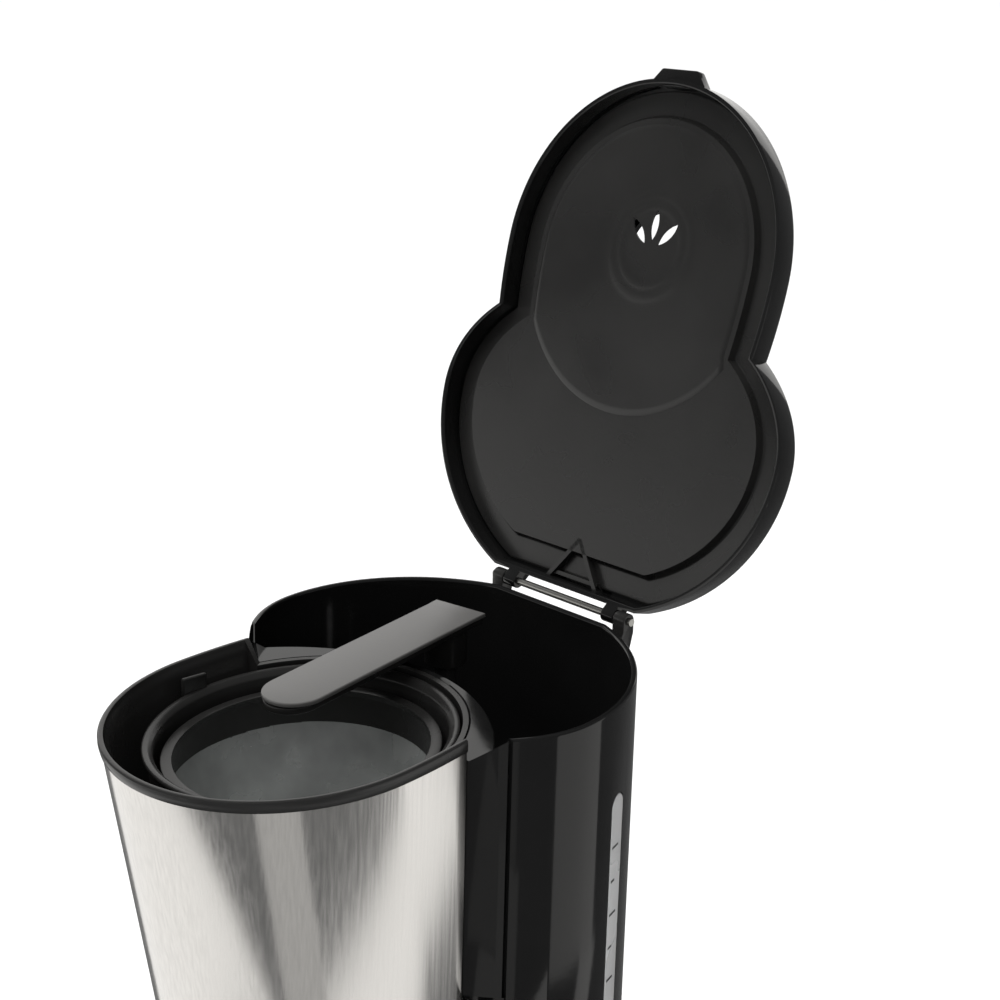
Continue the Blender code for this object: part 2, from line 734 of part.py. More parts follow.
def lid_cover():
    """Shallow outer shell with a skirt, a finger tab at the tip and two hinge knuckles."""
    top = LID_SKIRT + 2.6 * MM
    rings = [
        at_height(lid_outline(-2.2 * MM), LID_SKIRT),
        at_height(lid_outline(-2.0 * MM), 0.0),
        at_height(lid_outline(0.0), 0.0),
        at_height(lid_outline(0.0), LID_SKIRT - 0.6 * MM),
        at_height(lid_outline(-1.2 * MM), LID_SKIRT + 1.4 * MM),
        at_height(lid_outline(-5.0 * MM), top),
    ]
    made = place_lid_piece(loft("lid_cover", rings))
    tip = FRONT_Y - FRONT_R - LID_GROW
    tab_shape = [(-15 * MM, tip + 2.7 * MM), (-9 * MM, tip - 4.5 * MM), (9 * MM, tip - 4.5 * MM),
                 (15 * MM, tip + 2.7 * MM)]
    tab = plate("finger_tab", tab_shape, 3.2 * MM, LID_SKIRT - 1.0 * MM, None, CUTTERS)
    cut_in_lid(made, [tab], 'UNION')
    down = closed_lid_frame().inverted() @ Vector((0, HINGE_Y, HINGE_Z))
    for side in (-1, 1):
        root = LID_BACK_Y - 1.6 * MM
        knuckle = [(root, LID_SKIRT - 1 * MM), (root, 1 * MM), (LID_BACK_Y + 1.8 * MM, down.z - 2.2 * MM)]
        knuckle += arc((down.y, down.z), EYE_R, -90, 60, 8)
        centre_x = side * (HINGE_HALF - 3 * MM - GAP - 3.2 * MM)
        stand = Matrix(((0, 0, 1, centre_x), (1, 0, 0, 0), (0, 1, 0, 0), (0, 0, 0, 1)))
        blade = plate(f"knuckle_{side + 1}", knuckle, -3.2 * MM, 3.2 * MM, stand, CUTTERS)
        cut_in_lid(made, [blade], 'UNION')
    hole = cylinder("lid_pin_hole", 1.5 * MM + GAP, -45 * MM, 45 * MM, 0, 0, 16, CUTTERS)
    hole.matrix_basis = Matrix.Translation(down) @ Matrix.Rotation(math.pi / 2, 4, 'Y')
    cut_in_lid(made, [hole])
    vent = cylinder("steam_vent", VENT_R, 0, 30 * MM, *vent_foot(), 24, CUTTERS)
    return cut_in_lid(made, [vent])


def lid_liner():
    """Inner panel: flat flange, raised figure-eight field and a higher round field."""
    flange_top = LID_SKIRT - GAP
    rise, skin = 3.2 * MM, 1.4 * MM
    rings = [
        at_height(lid_outline(-16.0 * MM), flange_top - rise),
        at_height(lid_outline(-14.8 * MM), flange_top),
        at_height(lid_outline(-3.2 * MM), flange_top),
        at_height(lid_outline(-3.2 * MM), flange_top - skin),
        at_height(lid_outline(-13.2 * MM), flange_top - skin),
        at_height(lid_outline(-14.6 * MM), flange_top - skin - rise),
    ]
    made = place_lid_piece(loft("lid_liner", rings))
    return cut_in_lid(made, petals())


# ---- base ---------------------------------------------------------------------------------
PLATE_R = 57.0 * MM
PLATE_HOLE_R = 53.0 * MM
PLATE_LIFT = 1.6 * MM
FEET = {"front_left": (-46.0, -92.0), "front_right": (46.0, -92.0),
        "rear_left": (-58.0, 42.0), "rear_right": (58.0, 42.0)}
BASE_SCREWS = {"front_left": (-30.0, -104.0), "front_right": (30.0, -104.0),
               "rear_left": (-70.0, 22.0), "rear_right": (70.0, 22.0)}
SWITCH_Z = 20.0 * MM
SWITCH_HALF = (9.0 * MM, 6.5 * MM)
LENS_Z = 35.0 * MM
GLAND = (-38.0 * MM, 15.0 * MM)


def base_outline(grow):
    """Plan of the base: a figure of eight whose front tip is cut off flat for the switch."""
    flat = BASE_FLAT_Y - grow
    whole = figure_eight(BASE_FRONT_GROW + grow, BASE_REAR_GROW + grow,
                         BACK_FLAT + BASE_REAR_GROW + grow)
    without_tip = whole[1:]
    return [(x, max(y, flat)) for x, y in without_tip]


def base_shell():
    """Open-bottomed housing under the whole machine, with screw bosses and openings."""
    rings = [
        at_height(base_outline(-WALL), BASE_Z - WALL),
        at_height(base_outline(-WALL), BASE_BOTTOM_Z),
        at_height(base_outline(0.0), BASE_BOTTOM_Z),
        at_height(base_outline(0.0), BASE_Z - 2 * MM),
        at_height(base_outline(-0.6 * MM), BASE_Z - 0.6 * MM),
        at_height(base_outline(-2.0 * MM), BASE_Z),
    ]
    made = loft("base_shell", rings)
    for name, (x, y) in BASE_SCREWS.items():
        boss = cylinder(f"boss_{name}", 4.2 * MM, 6.2 * MM, BASE_Z - 1.2 * MM, x * MM, y * MM, 12,
                        CUTTERS)
        boolean(made, boss, 'UNION')
        bore = cylinder(f"boss_bore_{name}", 1.9 * MM, 2 * MM, 22 * MM, x * MM, y * MM, 12, CUTTERS)
        boolean(made, bore)
    hole = cylinder("plate_hole", PLATE_HOLE_R, BASE_Z - 9 * MM, BASE_Z + 9 * MM, 0, BREW_Y, 36, CUTTERS)
    boolean(made, hole)
    for name, x, y, r in (("hose_pass_in", INTAKE[0], INTAKE[1], 12.6 * MM),
                          ("hose_pass_out", ARM_PIVOT.x, ARM_PIVOT.y, 12.0 * MM)):
        boolean(made, cylinder(name, r, BASE_Z - 9 * MM, BASE_Z + 9 * MM, x, y, 16, CUTTERS))
    half_w, half_h = SWITCH_HALF
    slot = box("switch_slot", (-half_w - 1.5 * MM, BASE_FLAT_Y - 5 * MM, SWITCH_Z - half_h - 1.5 * MM),
               (half_w + 1.5 * MM, BASE_FLAT_Y + 6 * MM, SWITCH_Z + half_h + 1.5 * MM), CUTTERS)
    boolean(made, slot)
    lens = cylinder("lens_hole", 2.6 * MM, -6 * MM, 6 * MM, 0, 0, 12, CUTTERS)
    lens.matrix_basis = Matrix.Translation((0, BASE_FLAT_Y, LENS_Z)) @ Matrix.Rotation(math.pi / 2, 4, 'X')
    boolean(made, lens)
    gland = cylinder("gland_hole", 4.6 * MM, -9 * MM, 9 * MM, 0, 0, 16, CUTTERS)
    gland.matrix_basis = gland_place()
    boolean(made, gland)
    return made


def gland_place():
    """Square to the base's back wall, beside the flat middle."""
    x = GLAND[0]
    grow = BASE_REAR_GROW
    y = REAR_Y + (REAR_BACK + grow) * math.sqrt(1 - (x / (REAR_HALF + grow)) ** 2)
    normal = Vector((x / (REAR_HALF + grow) ** 2, (y - REAR_Y) / (REAR_BACK + grow) ** 2, 0))
    return Matrix.Translation((x, y, GLAND[1])) @ normal.to_track_quat('Z', 'X').to_matrix().to_4x4()


def cord_gland():
    profile = [(2.6, 3.0), (5.8, 3.0), (6.4, 2.2), (6.4, 1.0), (4.3, 1.0), (4.3, -4.6), (5.2, -5.2),
               (5.2, -6.6), (2.6, -6.6)]
    made = turned("cord_gland", [(r * MM, h * MM) for r, h in profile], (0, 0, 0), 16)
    made.matrix_basis = gland_place()
    return made


def base_cover():
    grow = -WALL - GAP
    made = plate("base_cover", base_outline(grow), BASE_BOTTOM_Z, BASE_BOTTOM_Z + 2.2 * MM)
    for name, (x, y) in BASE_SCREWS.items():
        boolean(made, cylinder(f"cover_hole_{name}", 2.0 * MM, 0, 9 * MM, x * MM, y * MM, 12, CUTTERS))
    for k in range(5):
        x = (k - 2) * 9 * MM
        boolean(made, box(f"vent_{k}", (x - 1.5 * MM, 20 * MM, 0), (x + 1.5 * MM, 46 * MM, 9 * MM),
                          CUTTERS))
    return made


def feet():
    for name, (x, y) in FEET.items():
        profile = [(0, 3.0), (8.0, 3.0), (8.0, 1.0), (6.8, 0.0), (0, 0.0)]
        yield turned(f"foot_{name}", [(r * MM, h * MM) for r, h in profile], (x * MM, y * MM, 0), 16)


def base_screws():
    low = BASE_BOTTOM_Z - GAP
    for name, (x, y) in BASE_SCREWS.items():
        profile = [(0, 19 * MM), (1.6 * MM, 19 * MM), (1.6 * MM, low), (3.2 * MM, low),
                   (2.8 * MM, low - 1.4 * MM), (0, low - 1.4 * MM)]
        yield turned(f"base_screw_{name}", profile, (x * MM, y * MM, 0), 12)


def warming_plate():
    top = PLATE_Z
    profile = [
        (0, top - 0.5 * MM), (PLATE_R - 4 * MM, top - 0.5 * MM), (PLATE_R - 3 * MM, top),
        (PLATE_R - 0.5 * MM, top), (PLATE_R, top - 0.5 * MM), (PLATE_R, BASE_Z + PLATE_LIFT),
        (PLATE_HOLE_R - GAP, BASE_Z + PLATE_LIFT), (PLATE_HOLE_R - GAP, BASE_Z - 2.4 * MM),
        (PLATE_HOLE_R - 2 * MM, BASE_Z - 2.4 * MM), (PLATE_HOLE_R - 2 * MM, BASE_Z - 0.4 * MM),
        (0, BASE_Z - 0.4 * MM),
    ]
    return turned("warming_plate", profile, (0, BREW_Y, 0), 28)


def plate_seal():
    """Rubber ring between the plate's rim and the base."""
    low, high = BASE_Z + GAP, BASE_Z + PLATE_LIFT - GAP
    inner, outer = PLATE_HOLE_R + GAP, PLATE_R - 0.6 * MM
    profile = [(inner, high), (outer, high), (outer, low), (inner, low)]
    return turned("plate_seal", profile, (0, BREW_Y, 0), 28)


# ---- heater and plumbing --------------------------------------------------------------------
HEAT_TOP = BASE_Z - 0.4 * MM - GAP
WATER_TUBE_Z = HEAT_TOP - 8.0 * MM
CLAMP_Z = HEAT_TOP - 13.4 * MM


def horseshoe(radius, z, gap_degrees, tail):
    """Open ring around the brew axis, open at the back, with straight tails to the back."""
    ring = arc((0, BREW_Y), radius, 90 + gap_degrees, 450 - gap_degrees, 25)
    points = [(x, y, z) for x, y in ring]
    first, last = points[0], points[-1]
    return [(first[0], first[1] + tail, z)] + points + [(last[0], last[1] + tail, z)]


def heating_element():
    made = tube("heating_element", horseshoe(40 * MM, HEAT_TOP - 4 * MM, 30, 10 * MM), 4 * MM, 1)
    return made


def water_heater_tube():
    made = tube("water_heater_tube", horseshoe(30.5 * MM, WATER_TUBE_Z, 26, 26 * MM), 4.8 * MM, 1)
    return made


def heater_clamp():
    low = CLAMP_Z
    made = box("heater_clamp", (-46 * MM, BREW_Y - 8 * MM, low - 1.2 * MM), (46 * MM, BREW_Y + 8 * MM, low))
    boolean(made, cylinder("clamp_hole", 2.1 * MM, low - 5 * MM, low + 5 * MM, 0, BREW_Y + 4 * MM, 12,
                           CUTTERS))
    return made


def clamp_screw():
    low = CLAMP_Z - 1.2 * MM - GAP
    profile = [(0, HEAT_TOP), (1.8 * MM, HEAT_TOP), (1.8 * MM, low), (3.4 * MM, low),
               (3.4 * MM, low - 2 * MM), (0, low - 2 * MM)]
    return turned("clamp_screw", profile, (0, BREW_Y + 4 * MM, 0), 12)


def thermostat():
    low = CLAMP_Z + GAP
    profile = [(0, low + 8.5 * MM), (7.0 * MM, low + 8.5 * MM), (7.0 * MM, low + 3 * MM),
               (8.2 * MM, low + 3 * MM), (8.2 * MM, low), (0, low)]
    return turned("thermostat", profile, (-14 * MM, BREW_Y, 0), 16)


def thermal_fuse():
    z = CLAMP_Z - 1.2 * MM - 2.6 * MM
    made = tube("thermal_fuse", [(-30 * MM, BREW_Y, z), (-12 * MM, BREW_Y, z)], 2.2 * MM, 1)
    return made


def hose(name, corners, radius=5.6 * MM):
    return tube(name, smooth_route(corners, 4), radius, 1)


def intake_fitting():
    """One-way valve body that seals into the tank floor and points down."""
    low = TANK_FLOOR_Z - WALL - GAP
    profile = [(2.6 * MM, TANK_FLOOR_Z + 3 * MM), (5.0 * MM, TANK_FLOOR_Z + 3 * MM), (5.0 * MM, low),
               (8.0 * MM, low), (8.0 * MM, low - 9 * MM), (4.4 * MM, low - 9 * MM),
               (4.4 * MM, low - 13 * MM), (2.6 * MM, low - 13 * MM)]
    return turned("intake_valve", profile, (*INTAKE, 0), 16)


def intake_strainer():
    """Domed strainer over the intake, inside the tank."""
    low = TANK_FLOOR_Z + GAP
    profile = [(0, low + 7 * MM), (5.0 * MM, low + 6.2 * MM), (7.2 * MM, low + 4 * MM), (7.2 * MM, low),
               (6.0 * MM, low), (6.0 * MM, low + 3.6 * MM), (4.4 * MM, low + 5.0 * MM), (0, low + 5.6 * MM)]
    return turned("intake_strainer", profile, (*INTAKE, 0), 16)


def inlet_hose():
    top = TANK_FLOOR_Z - WALL - GAP - 13 * MM - GAP
    tail = horseshoe(30.5 * MM, WATER_TUBE_Z, 26, 26 * MM)[-1]
    z = tail[2]
    corners = [(*INTAKE, top), (*INTAKE, top - 12 * MM), (INTAKE[0] - 3 * MM, INTAKE[1] - 5 * MM, z + 3 * MM),
               (tail[0] + 4 * MM, tail[1] + 14 * MM, z), (tail[0], tail[1] + 6 * MM, z),
               (tail[0], tail[1] + GAP, z)]
    return hose("inlet_hose", corners)


def outlet_hose():
    top = TANK_FLOOR_Z - 14 * MM - GAP
    tail = horseshoe(30.5 * MM, WATER_TUBE_Z, 26, 26 * MM)[0]
    z = tail[2]
    x, y = ARM_PIVOT.x, ARM_PIVOT.y
    corners = [(x, y, top), (x, y, top - 13 * MM), (x + 2 * MM, y - 5 * MM, z + 3 * MM),
               (tail[0] - 2 * MM, tail[1] + 14 * MM, z), (tail[0], tail[1] + 6 * MM, z),
               (tail[0], tail[1] + GAP, z)]
    return hose("outlet_hose", corners)


def hose_clamps():
    for name, (x, y), z in (("hose_clamp_inlet", INTAKE, TANK_FLOOR_Z - 22 * MM),
                            ("hose_clamp_outlet", ARM_PIVOT.xy, TANK_FLOOR_Z - 20 * MM)):
        r = 5.6 * MM + 2 * GAP
        profile = [(r, z + 2 * MM), (r + 0.9 * MM, z + 2 * MM), (r + 0.9 * MM, z - 2 * MM), (r, z - 2 * MM)]
        yield turned(name, profile, (x, y, 0), 16)


# ---- switch and wiring ----------------------------------------------------------------------
ROCKER_AXIS_Y = BASE_FLAT_Y + 2.0 * MM
ROCKER_TILT = math.radians(8.0)


def switch_body():
    """Bezel and contact box of the rocker switch."""
    half_w, half_h = SWITCH_HALF
    front = BASE_FLAT_Y - GAP
    made = box("switch_body", (-half_w - 1.2 * MM, front - 0.1 * MM, SWITCH_Z - half_h - 1.2 * MM),
               (half_w + 1.2 * MM, BASE_FLAT_Y + 16 * MM, SWITCH_Z + half_h + 1.2 * MM))
    flange = box("switch_flange", (-half_w - 3.0 * MM, front - 1.6 * MM, SWITCH_Z - half_h - 3.0 * MM),
                 (half_w + 3.0 * MM, front, SWITCH_Z + half_h + 3.0 * MM), CUTTERS)
    boolean(made, flange, 'UNION')
    pocket = box("switch_pocket", (-half_w, front - 9 * MM, SWITCH_Z - half_h),
                 (half_w, BASE_FLAT_Y + 7.5 * MM, SWITCH_Z + half_h), CUTTERS)
    boolean(made, pocket)
    return made


def switch_rocker():
    """See-saw key, resting in its off position."""
    half_w = SWITCH_HALF[0] - 0.5 * MM
    h = SWITCH_HALF[1] - 0.9 * MM
    outline = [(-4.6 * MM, -h), (-3.6 * MM, -h * 0.5), (-3.3 * MM, 0), (-3.6 * MM, h * 0.5),
               (-4.6 * MM, h), (1.0 * MM, h * 0.86), (3.4 * MM, 0), (1.0 * MM, -h * 0.86)]
    stand = Matrix(((0, 0, 1, 0), (1, 0, 0, 0), (0, 1, 0, 0), (0, 0, 0, 1)))
    made = plate("switch_rocker", outline, -half_w, half_w, stand)
    made.data.transform(Matrix.Rotation(-ROCKER_TILT, 4, 'X') @ made.matrix_basis)
    made.matrix_basis = Matrix.Translation((0, ROCKER_AXIS_Y, SWITCH_Z))
    return made


def indicator_lens():
    profile = [(0, 1.6), (1.4, 1.4), (2.3, 0.6), (2.3, -5.0), (0, -5.0)]
    made = turned("indicator_lens", [(r * MM, h * MM) for r, h in profile], (0, 0, 0), 12)
    made.matrix_basis = Matrix.Translation((0, BASE_FLAT_Y, LENS_Z)) @ Matrix.Rotation(math.pi / 2, 4, 'X')
    return made


def terminal_block():
    made = box("terminal_block", (-56 * MM, 30 * MM, 8 * MM), (-36 * MM, 46 * MM, 20 * MM))
    for k in range(3):
        x = (-52 + 6 * k) * MM
        boolean(made, cylinder(f"terminal_{k}", 1.6 * MM, 14 * MM, 26 * MM, x, 38 * MM, 10, CUTTERS))
    return made


def wires():
    """Insulated leads inside the base: block to switch, switch to heater, heater to block."""
    z = HEAT_TOP - 4 * MM
    tails = horseshoe(40 * MM, z, 30, 10 * MM)
    back = BASE_FLAT_Y + 16 * MM + 3 * GAP
    routes = {
        "wire_switch_feed": [(-52 * MM, 29.7 * MM, 12 * MM), (-54 * MM, 12 * MM, 11 * MM),
                             (-52 * MM, -30 * MM, 10 * MM), (-44 * MM, -66 * MM, 10 * MM),
                             (-22 * MM, -98 * MM, 12 * MM), (-5 * MM, -106 * MM, 16 * MM),
                             (-4 * MM, back, 17 * MM)],
        "wire_heater_feed": [(4 * MM, back, 17 * MM), (6 * MM, -106 * MM, 15 * MM),
                             (30 * MM, -84 * MM, 12 * MM), (50 * MM, -50 * MM, 12 * MM),
                             (44 * MM, -12 * MM, 18 * MM), (tails[-1][0] + 6 * MM, tails[-1][1] + 10 * MM, z - 3 * MM),
                             (tails[-1][0], tails[-1][1] + 4 * GAP, z)],
        "wire_heater_return": [(tails[0][0], tails[0][1] + 4 * GAP, z),
                               (tails[0][0] - 3 * MM, tails[0][1] + 10 * MM, z - 3 * MM),
                               (-38 * MM, 8 * MM, 17 * MM), (-41 * MM, 20 * MM, 13 * MM),
                               (-42 * MM, 29.7 * MM, 12 * MM)],
    }
    for name, corners in routes.items():
        yield tube(name, smooth_route(corners, 3), 1.5 * MM, 1)


# ---- carafe -------------------------------------------------------------------------------
CARAFE_Z = PLATE_Z + GAP


def carafe_glass():
    outer = [(47.0, 113.0), (45.4, 106.0), (50.0, 92.0), (58.5, 74.0), (62.0, 52.0), (61.0, 28.0),
             (56.0, 8.0), (50.0, 0.8), (44.0, 0.0)]
    inner = [(40.0, 3.4), (48.8, 3.0), (54.2, 9.0), (59.2, 28.4), (60.2, 52.0), (56.8, 73.2),
             (48.4, 91.2), (43.4, 105.6), (45.0, 113.4)]
    profile = outer + [(0, 1.6), (0, 3.4)] + inner
    points = [(r * MM, CARAFE_Z + h * MM) for r, h in profile]
    rotate = 11
    return turned("carafe_glass", points[rotate - 1:] + points[:rotate - 1], (0, BREW_Y, 0), 28)


def carafe_band():
    """Collar around the neck, with a pouring lip opposite the handle's post."""
    low, high = CARAFE_Z + 96 * MM, CARAFE_Z + 116 * MM
    profile = [(48.0 * MM, high), (50.4 * MM, high), (51.6 * MM, high - 2 * MM), (53.0 * MM, low),
               (50.6 * MM, low), (48.4 * MM, low + 10 * MM)]
    made = turned("carafe_band", profile, (0, BREW_Y, 0), 28)
    post = box("handle_post", (-7 * MM, BREW_Y - 58 * MM, low + 1 * MM),
               (7 * MM, BREW_Y - 50.4 * MM, high - 3 * MM), CUTTERS)
    return boolean(made, post, 'UNION')


def carafe_handle():
    """Open C-shaped grip, hung from the collar."""
    y0 = BREW_Y - 58 * MM - GAP
    z1 = CARAFE_Z + 114 * MM
    outside = [(y0, z1), (y0 - 30 * MM, z1 + 1 * MM), (y0 - 42 * MM, z1 - 6 * MM), (y0 - 46 * MM, z1 - 24 * MM),
               (y0 - 42 * MM, z1 - 60 * MM), (y0 - 32 * MM, z1 - 88 * MM), (y0 - 26 * MM, z1 - 92 * MM)]
    inside = [(y0 - 21 * MM, z1 - 88 * MM), (y0 - 22 * MM, z1 - 82 * MM), (y0 - 28 * MM, z1 - 58 * MM),
              (y0 - 31 * MM, z1 - 30 * MM), (y0 - 27 * MM, z1 - 18 * MM), (y0 - 18 * MM, z1 - 16 * MM),
              (y0, z1 - 17 * MM)]
    stand = Matrix(((0, 0, 1, 0), (1, 0, 0, 0), (0, 1, 0, 0), (0, 0, 0, 1)))
    made = plate("carafe_handle", outside + inside, -9 * MM, 9 * MM, stand)
    made.data.transform(made.matrix_basis)
    made.matrix_basis = Matrix()
    return bevel(made, 3.5 * MM, 2)


def handle_screw():
    y = BREW_Y - 58 * MM - GAP
    profile = [(0, 0.0), (3.4 * MM, 0.0), (3.4 * MM, -2.2 * MM), (0, -2.2 * MM)]
    made = turned("handle_screw", profile, (0, 0, 0), 12)
    made.matrix_basis = Matrix.Translation((0, y - 10 * MM, CARAFE_Z + 117.8 * MM))
    return made


def carafe_lid():
    """Domed lid with a boss that meets the drip valve, and a thumb tab."""
    z = CARAFE_Z
    profile = [(12.0, 135.1), (14.0, 132.8), (15.0, 129.0), (40.0, 123.0), (46.6, 118.0),
               (47.2, 116.6), (46.6, 113.8), (44.4, 113.8), (42.8, 108.0), (41.0, 108.0),
               (41.0, 115.4), (38.6, 120.4), (12.6, 126.0), (6.4, 126.0), (5.0, 128.0), (5.0, 135.1)]
    made = turned("carafe_lid", [(r * MM, z + h * MM) for r, h in profile], (0, BREW_Y, 0), 24)
    return made


# ---- assembly -----------------------------------------------------------------------------
def materials():
    return {
        "gloss_black": material("gloss_black", (0.012, 0.012, 0.013), 0.08),
        "satin_black": material("satin_black", (0.02, 0.02, 0.021), 0.35),
        "black_resin": material("black_resin", (0.03, 0.03, 0.031), 0.5),
        "brushed_steel": material("brushed_steel", (0.66, 0.65, 0.63), 0.3, 1.0),
        "smoked_mesh": material("smoked_mesh", (0.16, 0.17, 0.17), 0.2),
        "clear_plastic": material("clear_plastic", (0.75, 0.77, 0.77), 0.1, 0.0, 0.5),
        "glass": material("glass", (0.85, 0.9, 0.9), 0.02, 0.0, 0.3),
        "plate_coat": material("plate_coat", (0.06, 0.06, 0.065), 0.4),
        "aluminium": material("aluminium", (0.62, 0.62, 0.63), 0.4, 1.0),
        "rubber": material("rubber", (0.03, 0.03, 0.03), 0.8),
        "silicone": material("silicone", (0.78, 0.77, 0.74), 0.45),
        "zinc": material("zinc", (0.6, 0.6, 0.58), 0.35, 1.0),
        "wire": material("wire", (0.7, 0.68, 0.62), 0.5),
        "red_lens": material("red_lens", (0.6, 0.03, 0.02), 0.15),
        "nylon": material("nylon", (0.8, 0.79, 0.74), 0.5),
    }


def build():
    clear_scene()
    finish = materials()
    made = [
        (tank_column(), "gloss_black"), (bay_wall(), "gloss_black"),
        (tank_floor(), "black_resin"), (water_window(), "clear_plastic"),
        (hinge_bracket(), "satin_black"), (hinge_pin(), "zinc"),
        (filter_housing(), "satin_black"), (steel_wrap(), "brushed_steel"),
        (filter_basket(), "satin_black"), (permanent_filter(), "smoked_mesh"),
        (valve_plunger(), "black_resin"), (valve_seal(), "silicone"), (valve_spring(), "zinc"),
        (water_arm(), "gloss_black"), (arm_channel(), "satin_black"),
        (riser_tube(), "black_resin"), (riser_grommet(), "silicone"),
        (lid_cover(), "gloss_black"), (lid_liner(), "satin_black"),
        (base_shell(), "gloss_black"), (base_cover(), "black_resin"), (cord_gland(), "rubber"),
        (warming_plate(), "plate_coat"), (plate_seal(), "rubber"),
        (heating_element(), "zinc"), (water_heater_tube(), "aluminium"),
        (heater_clamp(), "zinc"), (clamp_screw(), "zinc"), (thermostat(), "black_resin"),
        (thermal_fuse(), "nylon"), (intake_fitting(), "nylon"), (intake_strainer(), "nylon"),
        (inlet_hose(), "silicone"), (outlet_hose(), "silicone"),
        (switch_body(), "black_resin"), (switch_rocker(), "satin_black"),
        (indicator_lens(), "red_lens"), (terminal_block(), "nylon"),
        (carafe_glass(), "glass"), (carafe_band(), "satin_black"),
        (carafe_handle(), "satin_black"), (handle_screw(), "zinc"), (carafe_lid(), "satin_black"),
    ]
    made += [(foot, "rubber") for foot in feet()]
    made += [(screw, "zinc") for screw in base_screws()]
    made += [(clamp, "zinc") for clamp in hose_clamps()]
    made += [(wire, "wire") for wire in wires()]
    shift = bpy.data.objects.new("machine_frame", None)
    shift.location = (0, SHIFT_Y, 0)
    collection(PARTS).objects.link(shift)
    for piece, slot in made:
        piece.data.materials.clear()
        piece.data.materials.append(finish[slot])
        piece.parent = shift
        smooth(piece)
    for tool in collection(CUTTERS).objects:
        tool.parent = shift


build()
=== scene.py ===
"""Drip coffee maker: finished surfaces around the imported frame, on a plain pale floor."""
import json
import math

import bmesh
import bpy
from mathutils import Matrix, Vector


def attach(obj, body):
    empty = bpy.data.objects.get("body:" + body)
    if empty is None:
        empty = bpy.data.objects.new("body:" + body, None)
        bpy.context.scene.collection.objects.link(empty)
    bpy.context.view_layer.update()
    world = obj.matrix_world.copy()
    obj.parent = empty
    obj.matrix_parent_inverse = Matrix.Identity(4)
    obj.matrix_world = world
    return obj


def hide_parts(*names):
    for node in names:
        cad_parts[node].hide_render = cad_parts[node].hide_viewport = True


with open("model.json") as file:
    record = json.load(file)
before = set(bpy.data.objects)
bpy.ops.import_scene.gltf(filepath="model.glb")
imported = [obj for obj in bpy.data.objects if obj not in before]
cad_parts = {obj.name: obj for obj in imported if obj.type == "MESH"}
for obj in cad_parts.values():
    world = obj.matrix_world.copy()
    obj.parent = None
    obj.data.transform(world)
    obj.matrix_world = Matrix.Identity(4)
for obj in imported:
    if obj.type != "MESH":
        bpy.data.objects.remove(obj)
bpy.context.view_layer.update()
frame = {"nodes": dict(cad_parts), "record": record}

# Shapes are written in millimetres about the centre of the rear lobe.
MM = 0.001
SHIFT_Y = 10.56
GAP = 0.3
WALL = 2.4
RIM_Z = 312.0
RIM_SLOPE = 0.08
LEDGE_DROP = 8.0
FRONT_R = 65.0
FRONT_Y = -61.0
FRONT_TAIL = 118.0
FRONT_LEAN = 17.0
FRONT_TAPER = 2.0
WAIST_Y = -31.5
REAR_HALF = 85.5
REAR_Y = 5.4
REAR_BACK = 69.5
REAR_FRONT = 54.6
BACK_FLAT = 70.5
BREW_Y = -54.0
BAY_FLOOR_Z = 194.0
BAY_RADIUS = 70.0
COLUMN_STEP_Z = 211.0
BASE_Z = 42.0
BASE_BOTTOM_Z = 3.3
BASE_FLAT_Y = -129.5
HINGE_Y = 75.93
HINGE_Z = RIM_Z + 7.1
EYE_R = 3.0
HINGE_HALF = 34.0
LID_GROW = 4.8
LID_LIFT = 0.4
LID_SKIRT = 9.3
LID_OPEN = math.radians(109.0)
LID_BACK_Y = 72.4
LINER_TOP = LID_SKIRT - GAP
STEEL = 0.7
ARM_SLOPE = 0.07
FIELD_STEP = 0.6
CARAFE_Z = 45.9
SHIFT = Matrix.Translation((0, SHIFT_Y, 0))


# ---- materials ----------------------------------------------------------------------------
def nodes_of(name):
    made = bpy.data.materials.new(name)
    made.use_nodes = True
    tree = made.node_tree
    return made, tree, tree.nodes["Principled BSDF"]


def noise(tree, scale, detail=3.0, stretch=(1, 1, 1)):
    place = tree.nodes.new("ShaderNodeTexCoord")
    mapping = tree.nodes.new("ShaderNodeMapping")
    mapping.inputs["Scale"].default_value = stretch
    tree.links.new(place.outputs["Object"], mapping.inputs["Vector"])
    made = tree.nodes.new("ShaderNodeTexNoise")
    made.inputs["Scale"].default_value = scale
    made.inputs["Detail"].default_value = detail
    tree.links.new(mapping.outputs["Vector"], made.inputs["Vector"])
    return made.outputs["Fac"]


def spread(tree, value, low, high, start=0.3, end=0.7):
    made = tree.nodes.new("ShaderNodeMapRange")
    made.inputs["From Min"].default_value = start
    made.inputs["From Max"].default_value = end
    made.inputs["To Min"].default_value = low
    made.inputs["To Max"].default_value = high
    tree.links.new(value, made.inputs["Value"])
    return made.outputs["Result"]


def shades(tree, value, dark, light):
    made = tree.nodes.new("ShaderNodeValToRGB")
    made.color_ramp.elements[0].position = 0.3
    made.color_ramp.elements[0].color = (*dark, 1)
    made.color_ramp.elements[1].position = 0.7
    made.color_ramp.elements[1].color = (*light, 1)
    tree.links.new(value, made.inputs["Fac"])
    return made.outputs["Color"]


